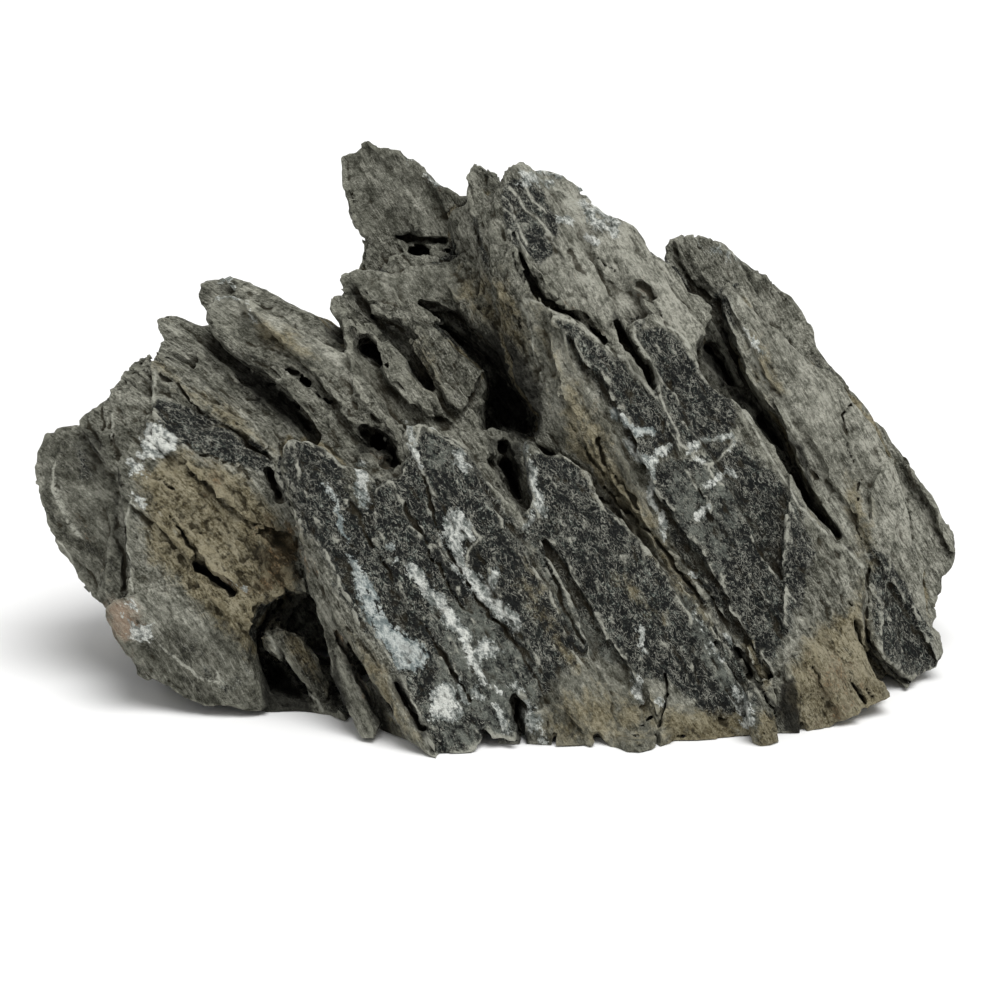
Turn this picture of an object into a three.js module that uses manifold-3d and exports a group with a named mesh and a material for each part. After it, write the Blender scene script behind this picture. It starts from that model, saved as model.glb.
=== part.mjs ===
// An aquascape stone of slate: one solid. Leaves of rock lean back and run from the upper left
// down to the lower right. A deep cleft parts the right half from the left, and a small cave
// opens at the foot of the left half. Millimetres, +Z up, and the stone stands on z = 0.
import * as THREE from "three";
import { ImprovedNoise } from "three/addons/math/ImprovedNoise.js";
import { TessellateModifier } from "three/addons/modifiers/TessellateModifier.js";
import { mergeVertices } from "three/addons/utils/BufferGeometryUtils.js";
import Module from "manifold-3d";

// Driving dimensions.
const STONE_WIDTH = 186; // from the left lobe to the right tip, across the line of sight
const STONE_WIDTH_PX = 932; // the same in the photograph
const PHOTO_MIDDLE_PX = 500; // the photograph is 1000 pixels wide and high
const SIGHT_LENGTH = 550; // from the eye to the middle of the stone
const SIGHT_DROP = THREE.MathUtils.degToRad(15); // the eye looks down by this angle
const SIGHT_HEIGHT = 38.4; // where the photograph's middle lies above the table
const FACET = 8; // longest edge of a facet
const SLACK = 0.36; // a point may go where that moves the surface by less
const SHEET = 7; // the usual thickness of a sheet of slate
const FRONT_SLIDE = 1.8; // how far a sheet's front end may lie off its neighbours
const BACK_SLIDE = 4.5; // the same at the far side
const CURL = 0.0035; // how the sheets of the left half curl over at their upper ends
const BUCKLE = 2.6; // how far the leaves bend along the line of sight
const BUCKLE_LENGTH = 19; // the size of those bends
const SWAY = 1.2; // how far they bend across it
const RIPPLE = 1.1; // the height of the ripples that run along the grain
const RIPPLE_WIDTH = 8; // their spacing
const GRAIN_TURN = THREE.MathUtils.degToRad(-60); // the way the leaves run, in the picture
const BELLY = 6; // how high the uneven underside rises between its feet
const REACH = 400; // larger than the stone, for cutting it
const SHEETS_REACH = 140; // the sheets are cut this far to both sides of the middle
const HALF_DEPTH = 100; // and this far to the front and back

const MM_PER_PX = STONE_WIDTH / STONE_WIDTH_PX;
const SIGHT = new THREE.Vector3(0, 0, 1); // the sight line, in its own frame

// The sight frame has x to the right, y up across the sight line and z towards the eye. A
// depth is measured along the sight line, away from the eye, from the middle of the stone.
const sightFrame = new THREE.Matrix4()
  .makeBasis(
    new THREE.Vector3(1, 0, 0),
    new THREE.Vector3(0, Math.sin(SIGHT_DROP), Math.cos(SIGHT_DROP)),
    new THREE.Vector3(0, -Math.cos(SIGHT_DROP), Math.sin(SIGHT_DROP)),
  )
  .setPosition(0, 0, SIGHT_HEIGHT);

// The point of the sight frame that shows at a pixel and lies at a depth.
function pointAt([px, py], depth) {
  const spread = (1 + depth / SIGHT_LENGTH) * MM_PER_PX;
  return new THREE.Vector3(
    (px - PHOTO_MIDDLE_PX) * spread,
    (PHOTO_MIDDLE_PX - py) * spread,
    -depth,
  );
}

// A face is a plane: its depth at one pixel, and what it gains in depth for each millimetre
// to the right and for each millimetre up.
function depthOf(face, x, y) {
  const anchor = pointAt(face.at, face.depth);
  return face.depth + face.right * (x - anchor.x) + face.up * (y - anchor.y);
}

// The same face, some millimetres deeper.
function stepped(face, depth) {
  return { ...face, depth: face.depth + depth };
}

// Where the sight line through a pixel meets a face.
function meet(face, [px, py]) {
  const x = (px - PHOTO_MIDDLE_PX) * MM_PER_PX;
  const y = (PHOTO_MIDDLE_PX - py) * MM_PER_PX;
  const anchor = pointAt(face.at, face.depth);
  const atOrigin = face.depth - face.right * anchor.x - face.up * anchor.y;
  const tilt = face.right * x + face.up * y;
  return pointAt([px, py], (atOrigin + tilt) / (1 - tilt / SIGHT_LENGTH));
}

// A leaf of rock: its face has the outline seen in the photograph, and it runs back along the
// sight line by its thickness. Its outline grows or shrinks on the way by taper, and heel makes
// it thicker at the foot than at the top. Each leaf bends in its own way, chosen by its seed.
function leaf({ face, outline, thick, taper = 1, heel = 0, seed = 0, bend = 1 }) {
  const rim = outline.map((pixel) => meet(face, pixel));
  const shape = new THREE.Shape(rim.map((p) => new THREE.Vector2(p.x, p.y)));
  const extruded = new THREE.ExtrudeGeometry(shape, { depth: 1, bevelEnabled: false });
  extruded.deleteAttribute("normal");
  extruded.deleteAttribute("uv");
  const box = new THREE.Box3().setFromPoints(rim);
  const middle = box.getCenter(new THREE.Vector3());
  const tall = box.max.y - box.min.y;
  const p = new THREE.Vector3();
  const run = extruded.attributes.position;
  for (let i = 0; i < run.count; i++) {
    p.fromBufferAttribute(run, i);
    const back = 1 - p.z;
    const scale = 1 + (taper - 1) * back;
    const depth = depthOf(face, p.x, p.y) + back * thick * (1 + heel * ((middle.y - p.y) / tall));
    run.setXYZ(
      i,
      middle.x + (p.x - middle.x) * scale,
      middle.y + (p.y - middle.y) * scale,
      -depth,
    );
  }
  const geometry = mergeVertices(new TessellateModifier(FACET, 14).modify(extruded), 1e-4);
  const place = geometry.attributes.position;
  for (let i = 0; i < place.count; i++) {
    p.fromBufferAttribute(place, i);
    p.addScaledVector(bendAt(p, seed), bend);
    place.setXYZ(i, p.x, p.y, p.z);
  }
  return solidOf(geometry);
}

// How far a leaf is bent at a point: slow bends, and ripples that run along the grain.
const noise = new ImprovedNoise();

function bendAt(p, seed) {
  const slow = (row) =>
    noise.noise(p.x / BUCKLE_LENGTH + seed * 7.3, p.y / BUCKLE_LENGTH + row, p.z / BUCKLE_LENGTH);
  const along = p.x * Math.cos(GRAIN_TURN) + p.y * Math.sin(GRAIN_TURN);
  const across = p.y * Math.cos(GRAIN_TURN) - p.x * Math.sin(GRAIN_TURN);
  const ripple = noise.noise(along / (4 * RIPPLE_WIDTH) + seed, across / RIPPLE_WIDTH, seed * 3.1);
  return new THREE.Vector3(
    SWAY * slow(11.5),
    SWAY * slow(23.5),
    BUCKLE * slow(37.5) + RIPPLE * ripple,
  );
}

const wasm = await Module();
wasm.setup();

// A closed geometry as a solid that can be joined and cut.
function solidOf(geometry) {
  const bare = new THREE.BufferGeometry();
  bare.setAttribute("position", geometry.getAttribute("position"));
  bare.setIndex(geometry.index);
  const merged = mergeVertices(bare, 1e-3);
  return new wasm.Manifold(
    new wasm.Mesh({
      numProp: 3,
      vertProperties: new Float32Array(merged.attributes.position.array),
      triVerts: new Uint32Array(merged.index.array),
    }),
  );
}

function geometryOf(solid) {
  const mesh = solid.getMesh();
  return new THREE.BufferGeometry()
    .setAttribute("position", new THREE.BufferAttribute(mesh.vertProperties, 3))
    .setIndex(new THREE.BufferAttribute(mesh.triVerts, 1));
}

const joined = (solids) => solids.reduce((whole, next) => whole.add(next));

// Draws points into a neighbour where the surface hardly moves, so that broad flat faces have
// few facets. It leaves a point where a facet would turn over or the solid would open.
function thinOut(geometry) {
  const place = geometry.attributes.position;
  const points = Array.from({ length: place.count }, (_, i) =>
    new THREE.Vector3().fromBufferAttribute(place, i),
  );
  const around = points.map(() => new Set());
  const facets = [];
  for (let i = 0; i < geometry.index.count; i += 3) {
    const facet = [0, 1, 2].map((k) => geometry.index.getX(i + k));
    facet.forEach((corner) => around[corner].add(facets.length));
    facets.push(facet);
  }
  const neighbours = (corner) => {
    const near = new Set([...around[corner]].flatMap((f) => facets[f]));
    near.delete(corner);
    return near;
  };
  const across = ([a, b, c]) =>
    points[b].clone().sub(points[a]).cross(points[c].clone().sub(points[a]));

  const price = (from, into) => {
    const move = points[into].clone().sub(points[from]);
    let most = 0;
    for (const f of around[from]) {
      if (facets[f].includes(into)) continue;
      const before = across(facets[f]);
      const after = across(facets[f].map((corner) => (corner === from ? into : corner)));
      if (after.length() < 0.02) return Infinity;
      if (before.length() < 0.02) continue;
      before.normalize();
      if (before.dot(after.normalize()) < 0.5) return Infinity;
      most = Math.max(most, Math.abs(before.dot(move)));
    }
    return most;
  };

  for (let pass = 0; pass < 6; pass++)
    for (let from = 0; from < points.length; from++) {
      if (!around[from].size) continue;
      const near = neighbours(from);
      const [best] = [...near]
        .map((into) => ({ into, cost: price(from, into) }))
        .sort((one, other) => one.cost - other.cost);
      if (best.cost > SLACK) continue;
      const shared = [...neighbours(best.into)].filter((corner) => near.has(corner));
      if (shared.length !== 2) continue;
      for (const f of around[from]) {
        if (facets[f].includes(best.into)) {
          facets[f].forEach((corner) => corner !== from && around[corner].delete(f));
          facets[f] = null;
        } else {
          facets[f] = facets[f].map((corner) => (corner === from ? best.into : corner));
          around[best.into].add(f);
        }
      }
      around[from].clear();
    }
  const thinned = new THREE.BufferGeometry();
  thinned.setAttribute("position", place);
  thinned.setIndex(facets.filter(Boolean).flat());
  return mergeVertices(thinned.toNonIndexed(), 1e-5);
}

// The outer skin alone: closed hollows and crumbs that the cuts leave are dropped.
function skinOf(geometry) {
  const leader = Array.from({ length: geometry.attributes.position.count }, (_, i) => i);
  const lead = (i) => {
    while (leader[i] !== i) i = leader[i] = leader[leader[i]];
    return i;
  };
  const corners = [...geometry.index.array];
  for (let i = 0; i < corners.length; i += 3)
    for (const k of [1, 2]) leader[lead(corners[i + k])] = lead(corners[i]);
  const counts = new Map();
  corners.forEach((i) => counts.set(lead(i), (counts.get(lead(i)) ?? 0) + 1));
  const [largest] = [...counts].sort((one, other) => other[1] - one[1])[0];
  const skin = new THREE.BufferGeometry();
  skin.setAttribute("position", geometry.getAttribute("position"));
  skin.setIndex(corners.filter((i) => lead(i) === largest));
  return skin;
}

// The faces of the front. The stone's foot comes forward from them to the table.
const frontFace = { at: [400, 430], depth: -15, right: 0.1, up: 0.28 };
const bigFace = { at: [700, 450], depth: -4, right: 0.1, up: 0.3 };

function frontLeaves() {
  return [
    // the dark blade at the left, with its top broken off square
    leaf({
      face: stepped(frontFace, 0.8),
      thick: 24,
      taper: 0.94,
      seed: 1,
      bend: 0.6,
      outline: [
        [290, 438], [306, 440], [322, 445], [331, 453], [338, 464], [352, 468], [361, 472],
        [367, 482], [374, 490], [388, 540], [412, 600], [440, 680], [462, 740], [470, 757],
        [456, 762], [442, 760], [428, 744], [408, 716], [388, 684], [364, 642], [340, 596],
        [318, 548], [302, 505], [292, 470],
      ],
    }),
    // its left flank, turned away
    leaf({
      face: { at: [310, 530], depth: -20, right: -0.8, up: -0.14 },
      thick: 20,
      seed: 2,
      bend: 0.5,
      outline: [
        [281, 450], [286, 440], [294, 440], [304, 480], [322, 530], [346, 586], [370, 636],
        [396, 686], [430, 742], [440, 760], [424, 748], [404, 724], [386, 694], [364, 656],
        [342, 620], [322, 586], [304, 545], [290, 504], [281, 470],
      ],
    }),
    // the tallest blade of the front, with the crusted top
    leaf({
      face: frontFace,
      thick: 30,
      taper: 0.95,
      seed: 3,
      bend: 0.6,
      outline: [
        [371, 488], [384, 480], [398, 470], [404, 456], [401, 438], [408, 426], [422, 423],
        [434, 430], [452, 436], [466, 446], [474, 458], [481, 471], [499, 487], [512, 500],
        [527, 513], [546, 552], [572, 604], [596, 656], [616, 716], [622, 755], [610, 751],
        [598, 742], [588, 748], [574, 752], [560, 751], [548, 747], [540, 735], [528, 718],
        [514, 701], [514, 716], [520, 738], [517, 749], [504, 747], [494, 738], [486, 733],
        [484, 746], [470, 757], [456, 762], [430, 700], [402, 600], [384, 540],
      ],
    }),
    // the pointed blade right of the notch
    leaf({
      face: stepped(frontFace, 2.2),
      thick: 26,
      taper: 0.95,
      seed: 4,
      bend: 0.6,
      outline: [
        [524, 450], [526, 440], [534, 441], [543, 453], [552, 457], [562, 453], [577, 462],
        [589, 470], [594, 484], [602, 502], [619, 520], [642, 542], [658, 562], [674, 590],
        [690, 620], [700, 700], [700, 756], [680, 752], [665, 750], [659, 728], [652, 745],
        [640, 752], [624, 757], [600, 700], [570, 610], [540, 556], [529, 520],
      ],
    }),
    // the low blade at the middle of the foot
    leaf({
      face: stepped(frontFace, 3.4),
      thick: 26,
      taper: 0.95,
      seed: 5,
      bend: 0.6,
      outline: [
        [640, 556], [662, 566], [680, 580], [700, 602], [722, 634], [740, 670], [752, 700],
        [757, 724], [750, 746], [744, 754], [720, 755], [698, 757], [664, 746], [650, 720],
        [652, 650],
      ],
    }),
    // its small neighbour at the foot
    leaf({
      face: stepped(frontFace, 6),
      thick: 24,
      seed: 6,
      outline: [
        [740, 700], [752, 716], [764, 712], [776, 718], [782, 736], [778, 751], [762, 753],
        [752, 738], [744, 744],
      ],
    }),
  ];
}

// Thin leaves that peel off the front's left edge and end at the table.
function frontSplinters() {
  return [
    leaf({
      face: { at: [345, 660], depth: -22, right: -0.5, up: 0 },
      thick: 6,
      seed: 7,
      bend: 0.4,
      outline: [
        [302, 550], [312, 558], [328, 590], [338, 620], [347, 650], [361, 676], [374, 700],
        [379, 722], [374, 738], [361, 738], [350, 722], [340, 696], [330, 664], [322, 634],
        [310, 596], [304, 570],
      ],
    }),
    leaf({
      face: { at: [370, 680], depth: -27, right: -0.6, up: -0.05 },
      thick: 6,
      seed: 8,
      bend: 0.4,
      outline: [
        [330, 596], [350, 626], [374, 660], [394, 690], [410, 716], [426, 742], [438, 760],
        [424, 753], [408, 742], [394, 722], [380, 696], [362, 668], [348, 642], [334, 616],
      ],
    }),
  ];
}

function rightLeaves() {
  const sidelong = { at: [600, 420], depth: -4.4, right: -0.85, up: -0.17 };
  return [
    // the great plate in front
    leaf({
      face: bigFace,
      thick: 24,
      taper: 0.97,
      seed: 9,
      bend: 0.6,
      outline: [
        [548, 302], [562, 308], [586, 322], [604, 336], [617, 344], [624, 328], [636, 322],
        [650, 318], [664, 324], [678, 336], [690, 346], [704, 362], [718, 378], [734, 386],
        [742, 398], [758, 412], [776, 434], [796, 464], [806, 484], [812, 560], [806, 640],
        [800, 700], [790, 742], [760, 742], [720, 640], [680, 580], [640, 520], [604, 470],
        [574, 410], [556, 356],
      ],
    }),
    // its right flank, turned away
    leaf({
      face: { at: [797, 560], depth: -10, right: 0.5, up: 0.25 },
      thick: 24,
      taper: 0.97,
      seed: 10,
      bend: 0.7,
      outline: [
        [790, 456], [799, 466], [812, 492], [832, 522], [852, 550], [864, 566], [868, 600],
        [866, 632], [873, 654], [850, 676], [790, 700], [780, 560],
      ],
    }),
    // the rusty toe under it
    leaf({
      face: { at: [830, 690], depth: -16.5, right: 0.45, up: 0.12 },
      thick: 26,
      taper: 0.97,
      seed: 11,
      outline: [
        [784, 664], [800, 652], [840, 645], [868, 650], [882, 672], [897, 692], [880, 704],
        [858, 714], [830, 728], [806, 736], [792, 737], [786, 720], [783, 700],
      ],
    }),
    // the layered side of the great plate, facing the cleft
    leaf({
      face: sidelong,
      thick: 20,
      seed: 12,
      bend: 0.8,
      outline: [
        [518, 297], [528, 291], [541, 295], [556, 305], [568, 340], [592, 390], [612, 430],
        [640, 484], [664, 530], [690, 590], [650, 566], [606, 510], [560, 456], [541, 442],
        [544, 410], [540, 380], [534, 350], [524, 318],
      ],
    }),
    // the plate behind, which rises to the second peak
    leaf({
      face: { at: [580, 250], depth: 10, right: 0.2, up: 0.4 },
      thick: 22,
      taper: 0.92,
      heel: 0.6,
      seed: 13,
      bend: 0.8,
      outline: [
        [497, 188], [503, 172], [512, 163], [524, 161], [533, 167], [549, 171], [572, 182],
        [602, 205], [626, 226], [643, 242], [660, 259], [676, 272], [690, 292], [704, 300],
        [716, 309], [706, 326], [700, 350], [708, 366], [724, 384], [760, 430], [740, 520],
        [640, 480], [560, 400], [546, 330], [545, 294], [530, 264], [514, 240], [500, 214],
      ],
    }),
    // the right-hand plate, split off by the long crack
    leaf({
      face: { at: [800, 430], depth: 6, right: 0.35, up: 0.3 },
      thick: 26,
      taper: 0.94,
      seed: 14,
      bend: 0.8,
      outline: [
        [721, 298], [725, 286], [734, 281], [741, 291], [753, 303], [776, 325], [801, 350],
        [831, 372], [853, 398], [876, 425], [894, 456], [900, 490], [896, 540], [886, 600],
        [884, 664], [860, 640], [850, 560], [815, 490], [780, 425], [752, 384], [736, 345],
        [726, 322],
      ],
    }),
    // its turned-away end
    leaf({
      face: { at: [895, 560], depth: 8, right: 0.8, up: 0.2 },
      thick: 26,
      taper: 0.94,
      seed: 15,
      outline: [
        [884, 470], [897, 462], [905, 492], [911, 530], [918, 570], [925, 602], [930, 626],
        [940, 650], [934, 663], [916, 676], [905, 688], [890, 672], [876, 650], [869, 620],
        [866, 580], [870, 500],
      ],
    }),
    // the far slab at the right end
    leaf({
      face: { at: [850, 400], depth: 25, right: 0.3, up: 0.25 },
      thick: 20,
      taper: 0.92,
      seed: 16,
      outline: [
        [661, 252], [664, 243], [672, 238], [684, 234], [700, 236], [713, 242], [728, 250],
        [747, 258], [772, 274], [782, 285], [795, 293], [801, 306], [812, 328], [832, 360],
        [857, 396], [882, 426], [903, 452], [927, 482], [946, 515], [962, 543], [958, 563],
        [949, 580], [945, 597], [937, 612], [930, 640], [880, 680], [780, 600], [700, 420],
        [668, 290],
      ],
    }),
  ];
}

// The wall of the cleft under the second peak, in ragged leaves that face left.
function cleftWall() {
  const face = { at: [520, 280], depth: 8, right: -0.65, up: 0.05 };
  return [
    leaf({
      face,
      thick: 22,
      seed: 17,
      outline: [
        [493, 192], [500, 186], [502, 214], [516, 240], [532, 264], [548, 294], [524, 296],
        [520, 320], [534, 350], [541, 382], [546, 420], [520, 400], [505, 350], [492, 300],
        [486, 240],
      ],
    }),
    leaf({
      face: { ...stepped(face, 7), right: -0.2 },
      thick: 22,
      seed: 18,
      outline: [
        [468, 204], [469, 172], [474, 164], [483, 163], [492, 171], [500, 168], [500, 240],
        [508, 300], [524, 372], [500, 350], [480, 330], [476, 260],
      ],
    }),
    leaf({
      face: stepped(face, 4.5),
      thick: 18,
      seed: 19,
      outline: [
        [446, 216], [450, 208], [466, 200], [476, 203], [484, 230], [490, 290], [496, 345],
        [474, 326], [456, 316], [442, 300], [440, 266], [452, 250], [452, 236],
      ],
    }),
    // a leaf that hangs in the cleft
    leaf({
      face: stepped(face, 0.5),
      thick: 20,
      seed: 20,
      outline: [
        [480, 212], [492, 200], [498, 240], [508, 280], [520, 312], [526, 345], [532, 372],
        [514, 340], [502, 322], [490, 280], [482, 250],
      ],
    }),
  ];
}

// The middle of the stone, behind the cleft: the far spire and the broken shelf before it.
function middleLeaves() {
  const low = { at: [430, 370], depth: 14, right: 0.25, up: 0.5 };
  return [
    // the far spire
    leaf({
      face: { at: [400, 200], depth: 36, right: 0.1, up: 0.05 },
      thick: 15,
      taper: 0.88,
      seed: 21,
      outline: [
        [361, 140], [376, 143], [392, 148], [402, 150], [425, 165], [450, 185], [467, 199],
        [500, 250], [520, 330], [440, 340], [370, 310], [352, 276], [358, 262], [363, 246],
        [357, 234], [350, 220], [345, 206], [339, 188], [339, 160], [346, 153], [352, 152],
      ],
    }),
    // a shelf at its foot
    leaf({
      face: { at: [420, 260], depth: 29, right: 0.15, up: 0.5 },
      thick: 16,
      seed: 22,
      outline: [
        [380, 272], [390, 258], [404, 248], [418, 244], [436, 245], [458, 252], [480, 268],
        [480, 310], [370, 310],
      ],
    }),
    // the broken shelf before the spire, its upper leaf
    leaf({
      face: { at: [400, 285], depth: 20, right: 0.15, up: 0.3 },
      thick: 22,
      taper: 0.94,
      seed: 23,
      bend: 1.3,
      outline: [
        [337, 276], [341, 269], [350, 271], [372, 270], [386, 272], [402, 275], [412, 268],
        [436, 260], [446, 262], [470, 268], [500, 310], [486, 334], [458, 314], [436, 300],
        [404, 302], [370, 306], [343, 302], [341, 290],
      ],
    }),
    // its lower leaf, which leans back under it
    leaf({
      face: low,
      thick: 26,
      taper: 0.96,
      seed: 24,
      bend: 1.4,
      outline: [
        [335, 312], [336, 300], [343, 296], [380, 297], [408, 303], [432, 315], [456, 334],
        [484, 354], [488, 376], [482, 404], [486, 440], [460, 470], [400, 450], [366, 400],
        [343, 350], [341, 322],
      ],
    }),
    // curled sheets on it
    leaf({
      face: stepped(low, -3),
      thick: 10,
      seed: 25,
      bend: 1.2,
      outline: [
        [374, 300], [398, 302], [420, 312], [444, 328], [466, 344], [484, 356], [487, 374],
        [480, 396], [466, 410], [452, 404], [441, 386], [430, 366], [416, 342], [398, 324],
        [378, 316],
      ],
    }),
    leaf({
      face: stepped(low, -2),
      thick: 10,
      seed: 26,
      bend: 1.2,
      outline: [
        [372, 322], [386, 342], [400, 352], [412, 372], [432, 396], [440, 412], [424, 416],
        [404, 400], [388, 380], [378, 356],
      ],
    }),
    // the floor of the cleft
    leaf({
      face: { at: [510, 450], depth: 9, right: 0.1, up: 0.7 },
      thick: 40,
      seed: 27,
      bend: 1.4,
      outline: [
        [430, 430], [470, 436], [500, 428], [545, 436], [600, 470], [640, 560], [560, 640],
        [460, 600], [400, 500],
      ],
    }),
    leaf({
      face: { at: [510, 450], depth: 4, right: 0.3, up: 0.7 },
      thick: 30,
      seed: 28,
      outline: [
        [440, 432], [458, 428], [476, 436], [492, 448], [508, 460], [514, 480], [500, 490],
        [470, 470],
      ],
    }),
  ];
}

function leftLeaves() {
  const streaked = { at: [300, 380], depth: 8.5, right: 0.1, up: 0.5 };
  const near = { at: [210, 430], depth: 0, right: 0.1, up: 0.5 };
  const rough = { at: [200, 540], depth: -7, right: 0.1, up: 0.3 };
  return [
    // the far blade with the rounded tip
    leaf({
      face: { at: [260, 310], depth: 22, right: 0.05, up: 0.3 },
      thick: 14,
      taper: 0.9,
      seed: 29,
      outline: [
        [193, 294], [196, 282], [206, 273], [218, 270], [232, 276], [252, 288], [276, 299],
        [302, 311], [327, 320], [343, 329], [366, 350], [390, 400], [300, 410], [226, 340],
        [212, 316], [205, 310], [196, 303],
      ],
    }),
    // the streaked blade before it
    leaf({
      face: streaked,
      thick: 24,
      taper: 0.95,
      seed: 30,
      bend: 1.2,
      outline: [
        [208, 322], [212, 306], [217, 298], [232, 296], [248, 300], [264, 312], [292, 329],
        [322, 343], [346, 357], [358, 352], [374, 356], [388, 368], [424, 404], [448, 430],
        [470, 500], [380, 520], [300, 470], [322, 440], [308, 416], [290, 392], [266, 374],
        [242, 362], [222, 346],
      ],
    }),
    // the slope between the two front blades
    leaf({
      face: { at: [260, 400], depth: 13, right: 0.1, up: 0.5 },
      thick: 22,
      seed: 34,
      outline: [
        [198, 330], [214, 322], [240, 345], [300, 380], [340, 440], [300, 480], [240, 430],
        [196, 380],
      ],
    }),
    // the small knob at the skyline
    leaf({
      face: { at: [180, 340], depth: 18, right: 0.1, up: 0.3 },
      thick: 15,
      taper: 0.88,
      seed: 35,
      outline: [
        [157, 334], [158, 322], [164, 316], [172, 315], [182, 320], [196, 323], [210, 322],
        [224, 340], [230, 400], [180, 400], [150, 366], [160, 344],
      ],
    }),
    // the near blade, with its dark streaked face
    leaf({
      face: near,
      thick: 26,
      taper: 0.96,
      seed: 36,
      bend: 0.9,
      outline: [
        [146, 362], [152, 352], [166, 358], [190, 372], [216, 391], [241, 411], [262, 428],
        [279, 446], [286, 462], [288, 480], [300, 540], [250, 520], [190, 470], [156, 446],
        [148, 400],
      ],
    }),
    // ledges along its upper edge
    leaf({
      face: stepped(near, -1.4),
      thick: 8,
      seed: 37,
      bend: 0.6,
      outline: [
        [152, 358], [168, 366], [194, 384], [222, 404], [248, 426], [270, 446], [262, 450],
        [236, 432], [208, 414], [184, 398], [160, 378],
      ],
    }),
    // shoulder of the left half
    leaf({
      face: { at: [120, 410], depth: 7, right: -0.25, up: 0.55 },
      thick: 26,
      taper: 0.92,
      seed: 38,
      outline: [
        [80, 422], [86, 412], [96, 402], [106, 397], [113, 386], [126, 374], [134, 362],
        [148, 354], [156, 400], [154, 450], [140, 480], [104, 470], [88, 446],
      ],
    }),
    // leftmost lobe
    leaf({
      face: { at: [75, 500], depth: 7, right: -0.45, up: 0.2 },
      thick: 28,
      taper: 0.9,
      seed: 39,
      outline: [
        [33, 465], [36, 446], [46, 433], [60, 425], [83, 421], [100, 434], [118, 458],
        [116, 520], [120, 600], [104, 614], [86, 600], [75, 585], [56, 547], [43, 512],
        [36, 487],
      ],
    }),
    // the ridge between the lobe and the rough face
    leaf({
      face: { at: [112, 530], depth: -1, right: -0.2, up: 0.3 },
      thick: 30,
      seed: 40,
      outline: [
        [98, 482], [108, 468], [128, 458], [150, 440], [150, 560], [136, 612], [116, 616],
        [104, 590], [103, 560], [108, 530], [102, 506],
      ],
    }),
    // the rough tan face
    leaf({
      face: rough,
      thick: 38,
      taper: 0.97,
      seed: 41,
      bend: 1.4,
      outline: [
        [128, 500], [124, 478], [134, 456], [150, 440], [176, 440], [200, 448], [226, 458],
        [252, 468], [280, 486], [298, 525], [305, 560], [300, 590], [276, 588], [262, 606],
        [250, 640], [190, 640], [130, 620], [128, 590], [131, 556], [127, 524],
      ],
    }),
    // its foot, a smooth grey block
    leaf({
      face: { at: [200, 620], depth: -12.5, right: 0, up: -0.12 },
      thick: 36,
      taper: 0.97,
      seed: 46,
      bend: 0.8,
      outline: [
        [104, 612], [118, 598], [150, 592], [200, 596], [244, 610], [258, 622], [252, 640],
        [253, 660], [260, 684], [266, 700], [264, 713], [248, 714], [226, 708], [200, 704],
        [188, 700], [176, 693], [150, 682], [140, 674], [122, 657], [109, 635],
      ],
    }),
    // the splinter in the cave, grown to the roof
    leaf({
      face: { at: [298, 664], depth: -4, right: 0.25, up: 0.35 },
      thick: 16,
      seed: 47,
      bend: 0.5,
      outline: [
        [264, 636], [268, 624], [276, 617], [288, 614], [300, 624], [314, 650], [330, 684],
        [331, 698], [324, 706], [310, 698], [292, 680], [276, 660], [265, 646],
      ],
    }),
  ];
}

// The body that the leaves stand on, and the far side, in the same leaves.
function heartAndBack() {
  return [
    leaf({
      face: { at: [560, 600], depth: -8, right: 0.12, up: 0.3 },
      thick: 46,
      heel: 0.4,
      seed: 60,
      outline: [
        [360, 500], [440, 460], [600, 480], [700, 420], [800, 500], [860, 600], [860, 700],
        [700, 750], [480, 750], [380, 640],
      ],
    }),
    leaf({
      face: { at: [220, 560], depth: 4, right: 0.05, up: 0.4 },
      thick: 34,
      heel: 0.4,
      seed: 61,
      outline: [
        [110, 480], [180, 400], [300, 400], [420, 440], [440, 560], [420, 620], [300, 590],
        [262, 600], [240, 700], [140, 680], [100, 600],
      ],
    }),
    leaf({
      face: { at: [300, 640], depth: 14, right: 0, up: 0.1 },
      thick: 30,
      seed: 62,
      outline: [[200, 540], [400, 540], [420, 760], [200, 760]],
    }),
    leaf({
      face: { at: [560, 420], depth: 26, right: 0.05, up: 0.1 },
      thick: 18,
      heel: 0.7,
      taper: 0.85,
      seed: 63,
      outline: [
        [340, 360], [420, 300], [520, 260], [640, 270], [760, 360], [870, 480], [920, 600],
        [880, 700], [400, 700], [330, 520],
      ],
    }),
    leaf({
      face: { at: [300, 480], depth: 22, right: -0.1, up: 0.1 },
      thick: 18,
      heel: 0.7,
      taper: 0.86,
      seed: 64,
      outline: [
        [100, 470], [170, 390], [260, 360], [380, 330], [450, 420], [480, 700], [180, 690],
        [90, 580],
      ],
    }),
  ];
}

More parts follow.
